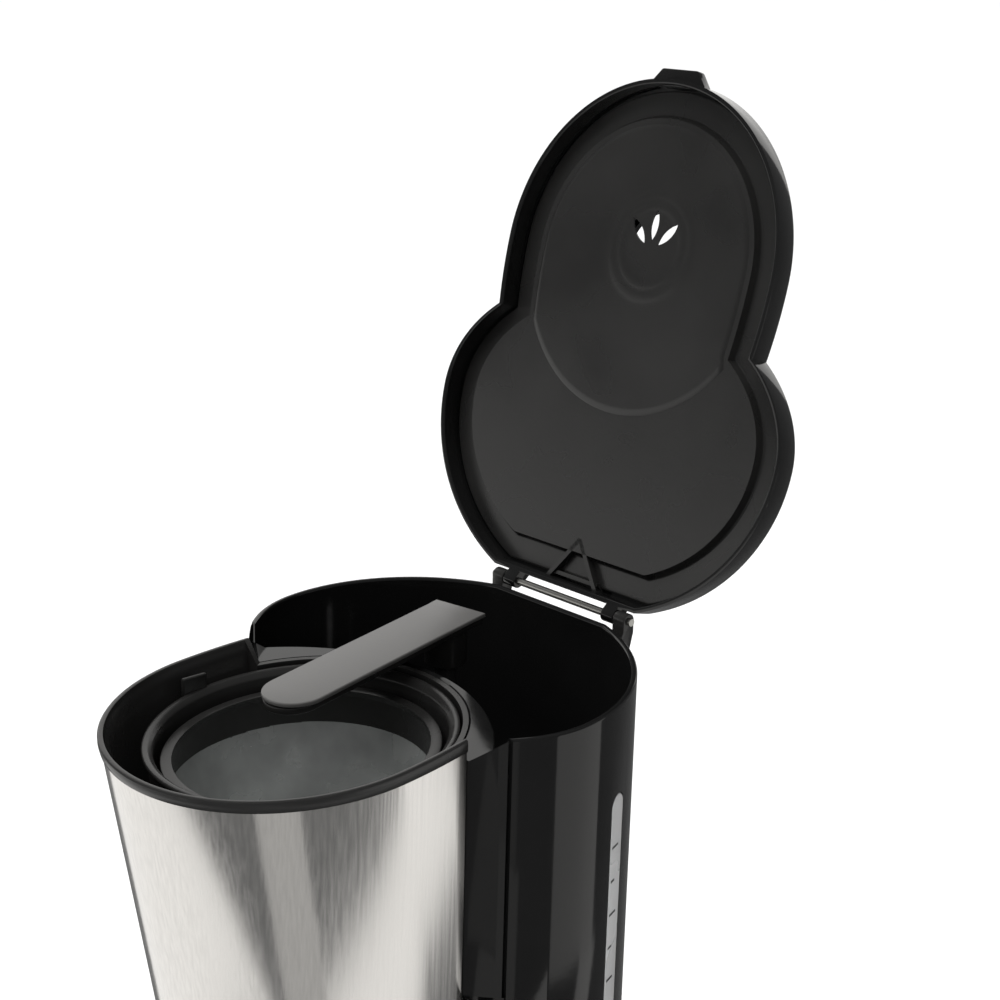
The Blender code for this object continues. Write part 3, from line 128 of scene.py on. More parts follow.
def surface(name, dark, light, rough, grain, depth, stretch=(1, 1, 1), patch=22.0, **fixed):
    """Mottled colour and roughness, with a fine grain in relief."""
    made, tree, shader = nodes_of(name)
    wide = noise(tree, patch, 3.0, stretch)
    tree.links.new(shades(tree, wide, dark, light), shader.inputs["Base Color"])
    tree.links.new(spread(tree, wide, rough[0], rough[1]), shader.inputs["Roughness"])
    bump = tree.nodes.new("ShaderNodeBump")
    bump.inputs["Strength"].default_value = depth
    bump.inputs["Distance"].default_value = 0.0002
    tree.links.new(noise(tree, grain, 2.0, stretch), bump.inputs["Height"])
    tree.links.new(bump.outputs["Normal"], shader.inputs["Normal"])
    for key, value in fixed.items():
        shader.inputs[key.replace("_", " ")].default_value = value
    return made


def grey(low, high, tint=(1, 1, 1)):
    return tuple(low * t for t in tint), tuple(high * t for t in tint)


WARM = (1.0, 0.98, 0.95)
MATERIALS = {
    "gloss_black": surface("gloss_black_abs", *grey(.0045, .0065), (.06, .1), 260, .03,
                           Specular_IOR_Level=.45),
    "satin_black": surface("satin_black_abs", *grey(.011, .016, WARM), (.24, .33), 900, .12),
    "black_resin": surface("black_resin", *grey(.012, .02), (.38, .5), 700, .15),
    "brushed_steel": surface("brushed_steel", *grey(.68, .77, WARM), (.11, .16), 1.0, .05,
                             stretch=(900, 900, 14), patch=1.0, Metallic=1.0),
    "smoked_mesh": surface("fine_steel_mesh", *grey(.25, .32, (.97, 1, .98)), (.12, .2), 2400, .15,
                           Metallic=.85),
    "clear_plastic": surface("frosted_window", *grey(.62, .72), (.22, .34), 500, .1,
                             Transmission_Weight=.25),
    "plate_coat": surface("non_stick_coat", *grey(.03, .05), (.3, .42), 1500, .25, Metallic=.3),
    "aluminium": surface("drawn_aluminium", *grey(.55, .66), (.3, .42), 400, .15, Metallic=1.0),
    "rubber": surface("black_rubber", *grey(.012, .022), (.65, .8), 1200, .3),
    "silicone": surface("milky_silicone", *grey(.58, .68, WARM), (.4, .52), 600, .1,
                        Subsurface_Weight=.15, Subsurface_Scale=.002),
    "zinc": surface("zinc_plate", *grey(.5, .62, (1, .99, .94)), (.25, .38), 500, .1, Metallic=1.0),
    "wire": surface("braided_sleeve", *grey(.5, .66, WARM), (.7, .85), 1800, .5),
    "red_lens": surface("red_lens", (.4, .01, .008), (.55, .02, .012), (.1, .16), 300, .03,
                        Transmission_Weight=.5),
    "nylon": surface("natural_nylon", *grey(.62, .72, (1, .99, .93)), (.4, .5), 500, .1),
}
# Painted sheen: a lighter grey base colour for the arm's top cover, standing in for the reflection its
# up-facing top shows.
ARM_TOP_SHEEN = surface("satin_abs_painted_sheen", *grey(.085, .105, WARM), (.3, .4), 700, .1)
CONE_MESH = surface("cone_mesh", *grey(.36, .50, (.97, 1, .98)), (.2, .32), 2400, .15, patch=60, Metallic=.6)
glass, glass_tree, glass_shader = nodes_of("carafe_glass")
glass_tree.links.new(spread(glass_tree, noise(glass_tree, 30), 0.0, 0.03), glass_shader.inputs["Roughness"])
glass_tree.links.new(shades(glass_tree, noise(glass_tree, 12), (.93, .97, .96), (.98, 1, .99)),
                     glass_shader.inputs["Base Color"])
glass_shader.inputs["Transmission Weight"].default_value = 1.0
glass_shader.inputs["IOR"].default_value = 1.47
MATERIALS["glass"] = glass


# ---- mesh helpers -------------------------------------------------------------------------
def raw(name, verts, faces, place=None, sharp=38.0):
    """Mesh object in the row frame from points in millimetres."""
    mesh = bpy.data.meshes.new(name)
    mesh.from_pydata([Vector(v) for v in verts], [], faces)
    mesh.transform(Matrix.Scale(MM, 4) @ SHIFT @ (place or Matrix()))
    bm = bmesh.new()
    bm.from_mesh(mesh)
    bmesh.ops.remove_doubles(bm, verts=bm.verts, dist=2e-6)
    bmesh.ops.dissolve_degenerate(bm, edges=bm.edges, dist=1e-6)
    bmesh.ops.recalc_face_normals(bm, faces=bm.faces)
    bm.to_mesh(mesh)
    bm.free()
    made = bpy.data.objects.new(name, mesh)
    bpy.context.scene.collection.objects.link(made)
    mesh.shade_smooth()
    mesh.set_sharp_from_angle(angle=math.radians(sharp))
    return made


def apply(made):
    """Bake an object's modifiers into its mesh."""
    bpy.context.view_layer.update()
    shape = made.evaluated_get(bpy.context.evaluated_depsgraph_get())
    mesh = bpy.data.meshes.new_from_object(shape)
    made.modifiers.clear()
    made.data = mesh
    return made


def combine(made, tools, operation='DIFFERENCE', sharp=38.0):
    for tool in tools:
        step = made.modifiers.new(tool.name, 'BOOLEAN')
        step.operation = operation
        step.object = tool
        step.solver = 'EXACT'
    apply(made)
    for tool in tools:
        bpy.data.objects.remove(tool, do_unlink=True)
    made.data.shade_smooth()
    made.data.set_sharp_from_angle(angle=math.radians(sharp))
    return made


def soften(made, width, segments=3, angle=30.0):
    step = made.modifiers.new("soften", 'BEVEL')
    step.width = width * MM
    step.segments = segments
    step.limit_method = 'ANGLE'
    step.angle_limit = math.radians(angle)
    step.harden_normals = False
    return apply(made)


def dress(made, body, slot, *nodes):
    """Give a piece its body, its material slot and the nodes it stands for."""
    made.data.materials.clear()
    made.data.materials.append(MATERIALS[slot])
    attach(made, body)
    if nodes:
        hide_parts(*nodes)
    return made


def loft(rings, caps=True):
    count = len(rings[0])
    verts = [point for ring in rings for point in ring]
    faces = []
    for k in range(len(rings) - 1):
        for i in range(count):
            j = (i + 1) % count
            faces.append((k * count + i, k * count + j, (k + 1) * count + j, (k + 1) * count + i))
    if caps:
        faces.append(tuple(range(count)))
        faces.append(tuple((len(rings) - 1) * count + i for i in range(count)))
    return verts, faces


def rounded(profile, radius, closed=True, steps=3):
    """Round the corners of a profile, keeping short edges short."""
    points = [Vector(p) for p in profile]
    out = []
    count = len(points)
    for i, corner in enumerate(points):
        if not closed and i in (0, count - 1) or abs(corner.x) < 1e-9:
            out.append(tuple(corner))
            continue
        back = points[i - 1] - corner
        ahead = points[(i + 1) % count] - corner
        a = corner + back.normalized() * min(radius, back.length * 0.42)
        b = corner + ahead.normalized() * min(radius, ahead.length * 0.42)
        for k in range(steps + 1):
            t = k / steps
            out.append(tuple(a * (1 - t) ** 2 + corner * 2 * t * (1 - t) + b * t ** 2))
    return out


def turned(name, profile, centre=(0, BREW_Y), radius=0.5, steps=96, place=None, tilt=None):
    """Solid of revolution; tilt = (top, bottom) leans its upper part with the rim."""
    closed = profile[0][0] > 0 or profile[-1][0] > 0
    line = rounded(profile, radius, closed)
    verts, faces = [], []
    for k in range(steps):
        a = 2 * math.pi * k / steps
        for r, z in line:
            y = r * math.sin(a)
            lift = 0.0
            if tilt:
                share = min(1.0, max(0.0, (z - tilt[1]) / (tilt[0] - tilt[1])))
                lift = RIM_SLOPE * y * share
            verts.append((centre[0] + r * math.cos(a), centre[1] + y, z + lift))
    count = len(line)
    last = count if closed else count - 1
    for k in range(steps):
        for i in range(last):
            a, b = k * count + i, k * count + (i + 1) % count
            n = ((k + 1) % steps) * count
            quad = (a, b, n + (i + 1) % count, n + i)
            faces.append(quad)
    return raw(name, verts, faces, place)


def prism(name, outline, low, high, place=None, rim=0.0, sharp=38.0):
    """Upright slab from an outline, with rounded edges where rim is given."""
    centre = Vector((sum(p[0] for p in outline) / len(outline), sum(p[1] for p in outline) / len(outline)))
    rings = []
    steps = 4
    lifts = [(0.0, low)] if rim <= 0 else [
        (rim * (1 - math.sin(math.pi / 2 * k / steps)), low + rim * (1 - math.cos(math.pi / 2 * k / steps)))
        for k in range(steps + 1)]
    lifts += [(g, low + high - z) for g, z in reversed(lifts)]
    for inset, z in lifts:
        ring = []
        for i, p in enumerate(outline):
            a, b = Vector(outline[i - 1]), Vector(outline[(i + 1) % len(outline)])
            along = (b - a).normalized()
            normal = Vector((along.y, -along.x))
            if (Vector(p) - centre).dot(normal) < 0:
                normal = -normal
            q = Vector(p) - normal * inset
            ring.append((q.x, q.y, z))
        rings.append(ring)
    verts, faces = loft(rings)
    return raw(name, verts, faces, place, sharp)


def box(name, low, high, place=None, rim=0.6):
    outline = [(low[0], low[1]), (high[0], low[1]), (high[0], high[1]), (low[0], high[1])]
    verts, faces = loft([[(x, y, low[2]) for x, y in outline], [(x, y, high[2]) for x, y in outline]])
    made = raw(name, verts, faces, place)
    return soften(made, rim) if rim else made


def arc(centre, radius, start, end, count):
    angles = [math.radians(start + (end - start) * i / (count - 1)) for i in range(count)]
    return [(centre[0] + radius * math.cos(a), centre[1] + radius * math.sin(a)) for a in angles]


def curve_through(corners, per_leg=6):
    path = [Vector(c) for c in corners]
    ends = [2 * path[0] - path[1]] + path + [2 * path[-1] - path[-2]]
    points = []
    for a, b, c, d in zip(ends, ends[1:], ends[2:], ends[3:]):
        for step in range(per_leg):
            t = step / per_leg
            points.append(0.5 * (2 * b + (c - a) * t + (2 * a - 5 * b + 4 * c - d) * t * t
                                 + (3 * b - a - 3 * c + d) * t ** 3))
    points.append(path[-1])
    return points


# ---- outlines -----------------------------------------------------------------------------
def rim_height(y, drop=0.0):
    return RIM_Z + RIM_SLOPE * y - drop


def front_x(y, centre_y, half):
    return half * math.sqrt(max(0.0, 1 - ((y - centre_y) / FRONT_TAIL) ** 2))


def rear_x(y, grow):
    reach = REAR_BACK + grow if y > REAR_Y else REAR_FRONT + grow / 2
    return (REAR_HALF + grow) * math.sqrt(max(0.0, 1 - ((y - REAR_Y) / reach) ** 2))


def waist(front_grow, rear_grow):
    low, high = FRONT_Y, REAR_Y
    for _ in range(50):
        y = (low + high) / 2
        if front_x(y, FRONT_Y, FRONT_R + front_grow) > rear_x(y, rear_grow):
            low = y
        else:
            high = y
    return low


def rear_side(grow, start_y, back, front_count=24, back_count=36):
    reach = REAR_FRONT + grow / 2
    half = REAR_HALF + grow
    first = math.asin((start_y - REAR_Y) / reach)
    last = math.asin(min(1.0, (back - REAR_Y) / (REAR_BACK + grow)))
    side = [(half * math.cos(first * (1 - i / front_count)),
             REAR_Y + reach * math.sin(first * (1 - i / front_count))) for i in range(front_count)]
    side += [(half * math.cos(last * i / back_count),
              REAR_Y + (REAR_BACK + grow) * math.sin(last * i / back_count)) for i in range(back_count + 1)]
    return side


def mirrored(side):
    return side + [(-x, y) for x, y in reversed(side) if x > 1e-6]


def front_side(grow, fraction, end_y, count=48):
    centre_y = FRONT_Y + FRONT_LEAN * fraction
    half = FRONT_R + grow - FRONT_TAPER * fraction
    side = arc((0, centre_y), half, -90, 0, count)
    side += [(front_x(y, centre_y, half), y)
             for y in (centre_y + (end_y - centre_y) * k / 12 for k in range(1, 13))]
    return side


def figure_eight(front_grow, rear_grow, back):
    end_y = waist(front_grow, rear_grow)
    return mirrored(front_side(front_grow, 0.0, end_y)[:-1] + rear_side(rear_grow, end_y, back))


ARC_COUNT = 61
SHOULDER_Y = -21.6


def at(outline, z):
    return [(x, y, z) for x, y in outline]


# ---- column, window, hinge ----------------------------------------------------------------
def window_frame(y=25.0):
    x = rear_x(y, 0.0)
    normal = Vector((x / REAR_HALF ** 2, (y - REAR_Y) / REAR_BACK ** 2, 0)).normalized()
    up = Vector((0, 0, 1))
    turn = Matrix((up.cross(normal), up, normal)).transposed().to_4x4()
    return Matrix.Translation((x, y, 0)) @ turn


def stadium(half, low, high):
    return arc((0, high - half), half, 0, 180, 17) + arc((0, low + half), half, 180, 360, 17)


def column():
    """Two of the tank's mouldings: sides and back, and the hollowed front."""
    bottom, start = BASE_Z + GAP, SHOULDER_Y + GAP

    def shell(grow, sink=None):
        out = mirrored(rear_side(-grow, start, BACK_FLAT - grow))
        inside = mirrored(rear_side(-WALL + grow, start, BACK_FLAT - WALL + grow))
        plan = out + list(reversed(inside))
        return at(plan, bottom + (.6 if grow == 0 else 0)) if sink is None else [
            (x, y, rim_height(y, sink)) for x, y in plan]

    rim = ((0, 1.0), (.08, .6), (.3, .25), (.62, .06), (1.0, 0))
    rings = [shell(.5), shell(0)] + [shell(grow, sink) for grow, sink in rim]
    made = raw("column_shell", *loft(rings))
    combine(made, [prism("slot", stadium(5.0, 96.0, RIM_Z - 33.0), -8, 8, window_frame())])
    dress(made, "machine", "gloss_black", "tank_column")

    def arc_from(y, radius, centre_y):
        edge = math.degrees(math.asin((y - centre_y) / radius))
        return arc((0, centre_y), radius, edge, 180 - edge, ARC_COUNT)

    def side_path(first):
        """Outline of the column's side from the shoulder forward."""
        ys = [SHOULDER_Y + (first - SHOULDER_Y) * k / 12 for k in range(13)]
        return [(rear_x(y, 0.0), y) for y in ys]

    low, up = side_path(-24.0), side_path(WAIST_Y)
    back = (rear_x(SHOULDER_Y, -1.2), SHOULDER_Y)
    front_low, back_low = arc_from(-24.0, BAY_RADIUS, BREW_Y), arc_from(SHOULDER_Y, BAY_RADIUS + WALL, BREW_Y)
    front_up, back_up = arc_from(WAIST_Y, 59.8, BREW_Y), arc_from(SHOULDER_Y, 86.7, -78.5)

    def drop(y):
        t = min(1.0, max(0.0, (SHOULDER_Y - y) / (SHOULDER_Y - WAIST_Y)))
        return LEDGE_DROP * t ** 1.2

    def section(lf, lb, uf, ub, f_top, b_top):
        step = COLUMN_STEP_Z
        f, b = Vector(uf), Vector(ub)
        in_f, in_b = (f + (b - f).normalized() * .5), (b + (f - b).normalized() * .5)
        return [(*lf, bottom), (*lf, step), (*uf, step), (*uf, f_top - .5), (*in_f, f_top), (*in_b, b_top),
                (*ub, b_top - .5), (*ub, step + WALL), (*lb, step + WALL), (*lb, bottom)]

    right = [section(l, back, u, back, rim_height(u[1], drop(u[1])), rim_height(back[1], drop(u[1])))
             for l, u in zip(low[1:], up[1:])]
    corner_low = [(low[-1][0] + (front_low[0][0] - low[-1][0]) * k / 6, -24.0) for k in range(1, 6)]
    corner_up = [(up[-1][0] + (front_up[0][0] - up[-1][0]) * k / 6, WAIST_Y) for k in range(1, 6)]
    lead = [(back[0] + (back_low[0][0] - back[0]) * k / 6, SHOULDER_Y) for k in range(1, 6)]
    lead_up = [(back[0] + (back_up[0][0] - back[0]) * k / 6, SHOULDER_Y) for k in range(1, 6)]
    ledge = [section(l, b, u, v, rim_height(u[1], LEDGE_DROP), rim_height(v[1], LEDGE_DROP))
             for l, b, u, v in zip(corner_low + front_low, lead + back_low,
                                   corner_up + front_up, lead_up + back_up)]
    rows = right + ledge
    rows += [[(-x, y, z) for x, y, z in row] for row in reversed(rows[:len(right) + 5])]
    made = raw("column_front", *loft(rows))
    dress(made, "machine", "gloss_black", "bay_wall")


def window():
    outline = stadium(4.7, 96.3, RIM_Z - 33.3)
    made = prism("window_lens", outline, -WALL, -.1, window_frame(), rim=.5)
    dress(made, "machine", "clear_plastic", "water_window")
    for k in range(12):
        z = 110 + 13.5 * k
        long_mark = k % 2 == 1
        right = 1.6 if long_mark else -.6
        mark = box(f"level_mark_{k}", (-3.6, z - .45, -.12), (right, z + .45, -.04), window_frame(), rim=0)
        dress(mark, "machine", "black_resin")


def blade(name, outline, x, half, place=None, rim=.6):
    stand = Matrix(((0, 0, 1, x), (1, 0, 0, 0), (0, 1, 0, 0), (0, 0, 0, 1)))
    return soften(prism(name, outline, -half, half, (place or Matrix()) @ stand), rim)


def hinge():
    front, back = BACK_FLAT + GAP, BACK_FLAT + 4.5
    made = box("hinge_bar", (-38, front, HINGE_Z - 22), (38, back, HINGE_Z - 9), rim=.8)
    ears = []
    for side in (-1, 1):
        ear = [(front, HINGE_Z - 20), (back, HINGE_Z - 20), (HINGE_Y + EYE_R, HINGE_Z - 5)]
        ear += arc((HINGE_Y, HINGE_Z), EYE_R, 0, 180, 17)
        ear += [(HINGE_Y - EYE_R, HINGE_Z - 4), (front, HINGE_Z - 8)]
        ears.append(blade(f"ear_{side}", ear, side * HINGE_HALF, 3.0, rim=.4))
    combine(made, ears, 'UNION')
    dress(made, "machine", "satin_black", "hinge_bracket")


# ---- front bay ----------------------------------------------------------------------------
SEAM_Y = WAIST_Y - GAP
BAY_DEPTH = RIM_Z - BAY_FLOOR_Z


def bay_ring(grow, fraction, drop, end_y, back_r, back_drop):
    side = front_side(grow, fraction, end_y)
    edge = math.degrees(math.asin((end_y - BREW_Y) / back_r))

    def height(y, fall):
        return rim_height(y, fall) * (1 - fraction) + BAY_FLOOR_Z * fraction

    right = [(x, y, height(y, drop)) for x, y in side]
    left = [(-x, y, z) for x, y, z in reversed(right) if x > 1e-6]
    back = arc((0, BREW_Y), back_r, edge, 180 - edge, ARC_COUNT)
    return right + [(x, y, height(y, back_drop)) for x, y in back] + left


def housing():
    skin = -STEEL - GAP
    outer, seam_in = 59.8 - GAP, SEAM_Y - 2.1
    lip = 4.5 / BAY_DEPTH
    line = [(skin, 1.0, 0, 0), (skin, lip, 0, 12), (.45, lip, -.1, 11.4), (.6, lip * .9, 0, 11),
            (.6, .008, .9, 9.4), (.5, 0, .55, 9.2), (.2, 0, .16, 8.9), (-.3, 0, 0, 8.4), (-1.1, 0, 0, 8.0),
            (-1.5, 0, .12, 8.1), (-1.8, .006, .4, 8.4), (-2.1, .012, .9, 9.0), (-3.1, lip, 0, 11),
            (-3.1, 1.0 - WALL / BAY_DEPTH, 0, 0)]
    rings = []
    for k, (grow, fraction, drop, back_drop) in enumerate(line):
        inner = k > 8
        r = outer - 2.0 if inner else outer
        end = seam_in if inner else SEAM_Y
        rings.append(bay_ring(grow, fraction, drop, end, r, back_drop * (1 - fraction)))
    made = raw("filter_bay", *loft(rings))
    hole = prism("hole", arc((0, BREW_Y), 13.0, 0, 354, 60), BAY_FLOOR_Z - 9, BAY_FLOOR_Z + 9)
    combine(made, [hole])
    dress(made, "machine", "satin_black", "filter_housing")


def steel():
    def section(fraction):
        def band(grow):
            side = front_side(grow, fraction, SEAM_Y, 60)
            line = [(x, y, rim_height(y) * (1 - fraction) + BAY_FLOOR_Z * fraction) for x, y in side]
            return [(-x, y, z) for x, y, z in reversed(line) if x > 1e-6] + line
        return band(0.0) + list(reversed(band(-STEEL)))
    top = 4.5 / BAY_DEPTH + GAP / BAY_DEPTH
    rings = [section(1.0 - (1.0 - top) * k / 12) for k in range(13)]
    dress(raw("steel_skin", *loft(rings)), "machine", "brushed_steel", "steel_wrap")


def basket():
    z = RIM_Z
    profile = [(54.6, -13.7), (56.6, -13.7), (56.6, -15.7), (54.6, -16.2), (53.4, -35.0), (33.0, -110.0),
               (12.0, -115.0), (12.0, -124.0), (9.5, -124.0), (9.5, -117.2), (3.0, -117.2), (3.0, -114.8),
               (31.2, -107.6), (51.6, -35.0), (52.6, -15.7)]
    made = turned("basket_shell", [(r, z + h) for r, h in profile], radius=.7, tilt=(z - 13.7, z - 60))
    hook = box("hook", (-57.0, BREW_Y - 12.8, z - 16), (-55.0, BREW_Y - 2.2, z - 8.4), rim=.7)
    combine(made, [hook], 'UNION')
    dress(made, "basket", "satin_black", "filter_basket")
    profile = [(0, -104.4), (25.5, -104.4), (47.2, -33.0), (47.4, -22.6), (46.0, -20.0), (50.2, -20.0),
               (50.2, -21.6), (48.6, -22.6), (48.4, -33.0), (26.6, -105.6), (0, -105.6)]
    made = turned("mesh_cone", [(r, z + h) for r, h in profile], radius=.35, tilt=(z - 20, z - 60))
    made.data.materials.append(CONE_MESH)
    made.data.materials.append(MATERIALS["satin_black"])
    for face in made.data.polygons:
        if face.center.z > (z - 33.5 + RIM_SLOPE * (face.center.y / MM - SHIFT_Y - BREW_Y)) * MM:
            face.material_index = 1
    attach(made, "basket")
    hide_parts("permanent_filter")


# ---- water arm ----------------------------------------------------------------------------
def arm():
    pivot, tip = Vector((-20.5, 33.0, 0)), Vector((-6.5, -62.5, 0))
    reach = tip - pivot
    length = reach.length
    place = Matrix.Translation(pivot) @ Matrix.Rotation(math.atan2(reach.x, -reach.y), 4, 'Z')
    top = RIM_Z + 2.0

    def outline(root, end):
        right = [Vector((root, y)) for y in (9.0, 3.0, -6.0, -14.0, -22.0)]
        right += [Vector((root + (end - root) * k / 6, -22 - (length - end - 22) * k / 6))
                  for k in range(1, 7)]
        nose = [Vector(p) for p in arc((0, -length + end), end, 0, -180, 25)[1:-1]]
        left = [Vector((-p.x, p.y)) for p in reversed(right)]
        return [(p.x, p.y) for p in right + nose + left]

    def slope(made):
        for vertex in made.data.vertices:
            y = vertex.co.y / MM - SHIFT_Y
            vertex.co.z += ARM_SLOPE * y * MM
        return made

    cover = slope(prism("arm_cover", outline(12.4, 12.6), top - 1.8, top, place, rim=.55))
    dress(cover, "water_arm_body", "gloss_black", "water_arm")
    # The top cover takes the lighter grey with painted sheen in place of plain black.
    cover.data.materials[0] = ARM_TOP_SHEEN
    under = top - 1.8 - GAP
    made = slope(prism("arm_underside", outline(11.0, 11.0), under - 2.6, under, place, rim=.5))
    socket = prism("socket", arc((0, 0), 8.4, 0, 352, 46), RIM_Z - 16, RIM_Z - .6, place, rim=.5)
    nozzle = turned("nozzle", [(0, RIM_Z - 4), (5.4, RIM_Z - 4), (3.6, RIM_Z - 8), (0, RIM_Z - 8)],
                    (0, -length + 13), .4, 40, place)
    combine(made, [socket, nozzle], 'UNION')
    bore = prism("bore", arc((0, 0), 4.8, 0, 345, 24), RIM_Z - 30, RIM_Z - 3.4, place)
    combine(made, [bore])
    dress(made, "water_arm_body", "satin_black", "arm_channel")


# ---- lid ----------------------------------------------------------------------------------
CLOSED = Matrix.Translation((0, 0, RIM_Z + LID_LIFT)) @ Matrix.Rotation(math.atan(RIM_SLOPE), 4, 'X')
PIN = Matrix.Translation((0, HINGE_Y, HINGE_Z))
LID = PIN @ Matrix.Rotation(-LID_OPEN, 4, 'X') @ PIN.inverted() @ CLOSED
VENT = (4.4, -63.5)
VENT_R = 17.4


def lid_outline(grow):
    return figure_eight(LID_GROW + grow, LID_GROW + grow, LID_BACK_Y + grow)


def petals():
    leaves = []
    for k, angle in enumerate((-42.0, 0.0, 42.0)):
        length, half = 12.5, 1.9
        radius = (length ** 2 / 4 + half ** 2) / (2 * half)
        span = math.degrees(math.asin(length / 2 / radius))
        lens = arc((half - radius, 0), radius, -span, span, 15)
        lens += arc((radius - half, 0), radius, 180 - span, 180 + span, 15)[1:-1]
        place = LID @ Matrix.Translation((VENT[0], VENT[1], 0)) @ Matrix.Rotation(math.radians(angle), 4, 'Z')
        out = place @ Matrix.Translation((0, -length / 2 - 5.0, 0))
        leaves.append(prism(f"petal_{k}", lens, -5, 30, out))
    return leaves


def sweep(name, profile, radius, place):
    line = rounded(profile, radius, closed=False)
    return raw(name, *loft([at(lid_outline(grow), z) for grow, z in line]), place)


def lid():
    top = LID_SKIRT + 2.6
    profile = [(-2.2, LID_SKIRT), (-2.0, 0), (0, 0), (0, LID_SKIRT - .6),
               (-1.2, LID_SKIRT + 1.4), (-5.0, top)]
    made = sweep("lid_shell", profile, .7, LID)
    tip = FRONT_Y - FRONT_R - LID_GROW
    shape = [(-15, tip + 2.7), (-9, tip - 4.5), (9, tip - 4.5), (15, tip + 2.7)]
    tab = soften(prism("tab", shape, 3.2, LID_SKIRT - 1, LID), .9)
    down = CLOSED.inverted() @ Vector((0, HINGE_Y, HINGE_Z))
    parts = [tab]
    for side in (-1, 1):
        root = LID_BACK_Y - 1.6
        knuckle = [(root, LID_SKIRT - 1), (root, 1), (LID_BACK_Y + 1.8, down.z - 2.2)]
        knuckle += arc((down.y, down.z), EYE_R, -90, 60, 13)
        parts.append(blade(f"knuckle_{side}", knuckle, side * (HINGE_HALF - 6.5), 3.2, LID, rim=.4))
    combine(made, parts, 'UNION')
    combine(made, [prism("vent", arc(VENT, VENT_R, 0, 355, 72), 3, 30, LID)])
    dress(made, "lid", "gloss_black", "lid_cover")
    rise, under = 3.2, LINER_TOP - 1.4
    made = sweep("liner_panel", [(-16.2, LINER_TOP - rise), (-14.8, LINER_TOP), (-3.2, LINER_TOP),
                                 (-3.2, under), (-13.2, under), (-14.6, under - rise)], .9, LID)
    combine(made, [prism("vent", arc(VENT, VENT_R, 0, 355, 72), 3, 30, LID)])
    dress(made, "lid", "satin_black", "lid_liner")
    field()
    gusset()


def field():
    """Thin round field over the basket, stepped from the panel, with vents and faint rings about them."""
    centre = Vector((1.5, FRONT_Y))
    hub = Vector((VENT[0], VENT[1] - 3.0))
    edge = [Vector(p) for p in lid_outline(-16.6)]
    spokes, rows = 144, 40
    base = LINER_TOP - 1.4 - 3.2
    verts, faces = [], []

    def reach(direction):
        best = 200.0
        for a, b in zip(edge, edge[1:] + edge[:1]):
            ab = b - a
            det = direction.x * -ab.y + direction.y * ab.x
            if abs(det) < 1e-9:
                continue
            rel = a - hub
            t = (rel.x * -ab.y + rel.y * ab.x) / det
            s = (direction.x * rel.y - direction.y * rel.x) / det
            if t > 0 and -1e-6 <= s <= 1 + 1e-6:
                best = min(best, t)
        rel = hub - centre
        b = rel.dot(direction)
        disc = -b + math.sqrt(b * b - rel.length_squared + 62.0 ** 2)
        return min(best, disc)

    for k in range(spokes):
        a = 2 * math.pi * k / spokes
        d = Vector((math.cos(a), math.sin(a)))
        r1 = reach(d)
        for j in range(rows + 1):
            r = r1 * j / rows
            dome = .3 * math.exp(-((r - 15.5) / 1.1) ** 2) + .25 * math.exp(-((r - 20.0) / 1.1) ** 2)
            dome += .35 * max(0.0, 1 - (r / 24.0) ** 2)
            fall = min(1.0, (r1 - r) / 1.4)
            z = base - FIELD_STEP * (1 - (1 - fall) ** 2) - dome
            p = hub + d * r
            verts.append((p.x, p.y, z if j < rows else base + .2))
    for k in range(spokes):
        n = (k + 1) % spokes
        for j in range(rows):
            a, b = k * (rows + 1) + j, n * (rows + 1) + j
            faces.append((a, b, b + 1, a + 1))
    start = len(verts)
    verts += [(x, y, z + .8) for x, y, z in verts]
    faces += [tuple(start + i for i in reversed(face)) for face in faces]
    for k in range(spokes):
        n = (k + 1) % spokes
        a, b = k * (rows + 1) + rows, n * (rows + 1) + rows
        faces.append((a, b, start + b, start + a))
    made = raw("liner_field", verts, faces, LID, sharp=50)
    combine(made, petals(), sharp=50)
    dress(made, "lid", "satin_black")


def gusset():
    """Two ribs that meet in a point, bracing the liner at the hinge."""
    legs = []
    for side in (-1, 1):
        foot = Vector((side * 13.5, LID_BACK_Y - 1.5))
        apex = Vector((0, LID_BACK_Y - 20.0))
        along = (apex - foot).normalized()
        across = Vector((along.y, -along.x)) * .9
        outline = [tuple(foot + across), tuple(apex + across), tuple(apex - across), tuple(foot - across)]
        legs.append(prism(f"rib_{side}", outline, LINER_TOP - 4.6, LINER_TOP - .5, LID))
    near, far = LID_BACK_Y - 3.4, LID_BACK_Y - 5.0
    outline = [(-13.0, near), (13.0, near), (13.0, far), (-13.0, far)]
    bar = prism("rib_bar", outline, LINER_TOP - 3.4, LINER_TOP - .5, LID)
    combine(legs[0], [legs[1], bar], 'UNION')
    made = soften(legs[0], .35, 2)
    made.name = "liner_gusset"
    dress(made, "lid", "satin_black")


# ---- base, plate and carafe ---------------------------------------------------------------
def base_outline(grow):
    flat = BASE_FLAT_Y - grow
    whole = figure_eight(5.0 + grow, 1.5 + grow, BACK_FLAT + 1.5 + grow)[1:]
    return [(x, max(y, flat)) for x, y in whole]


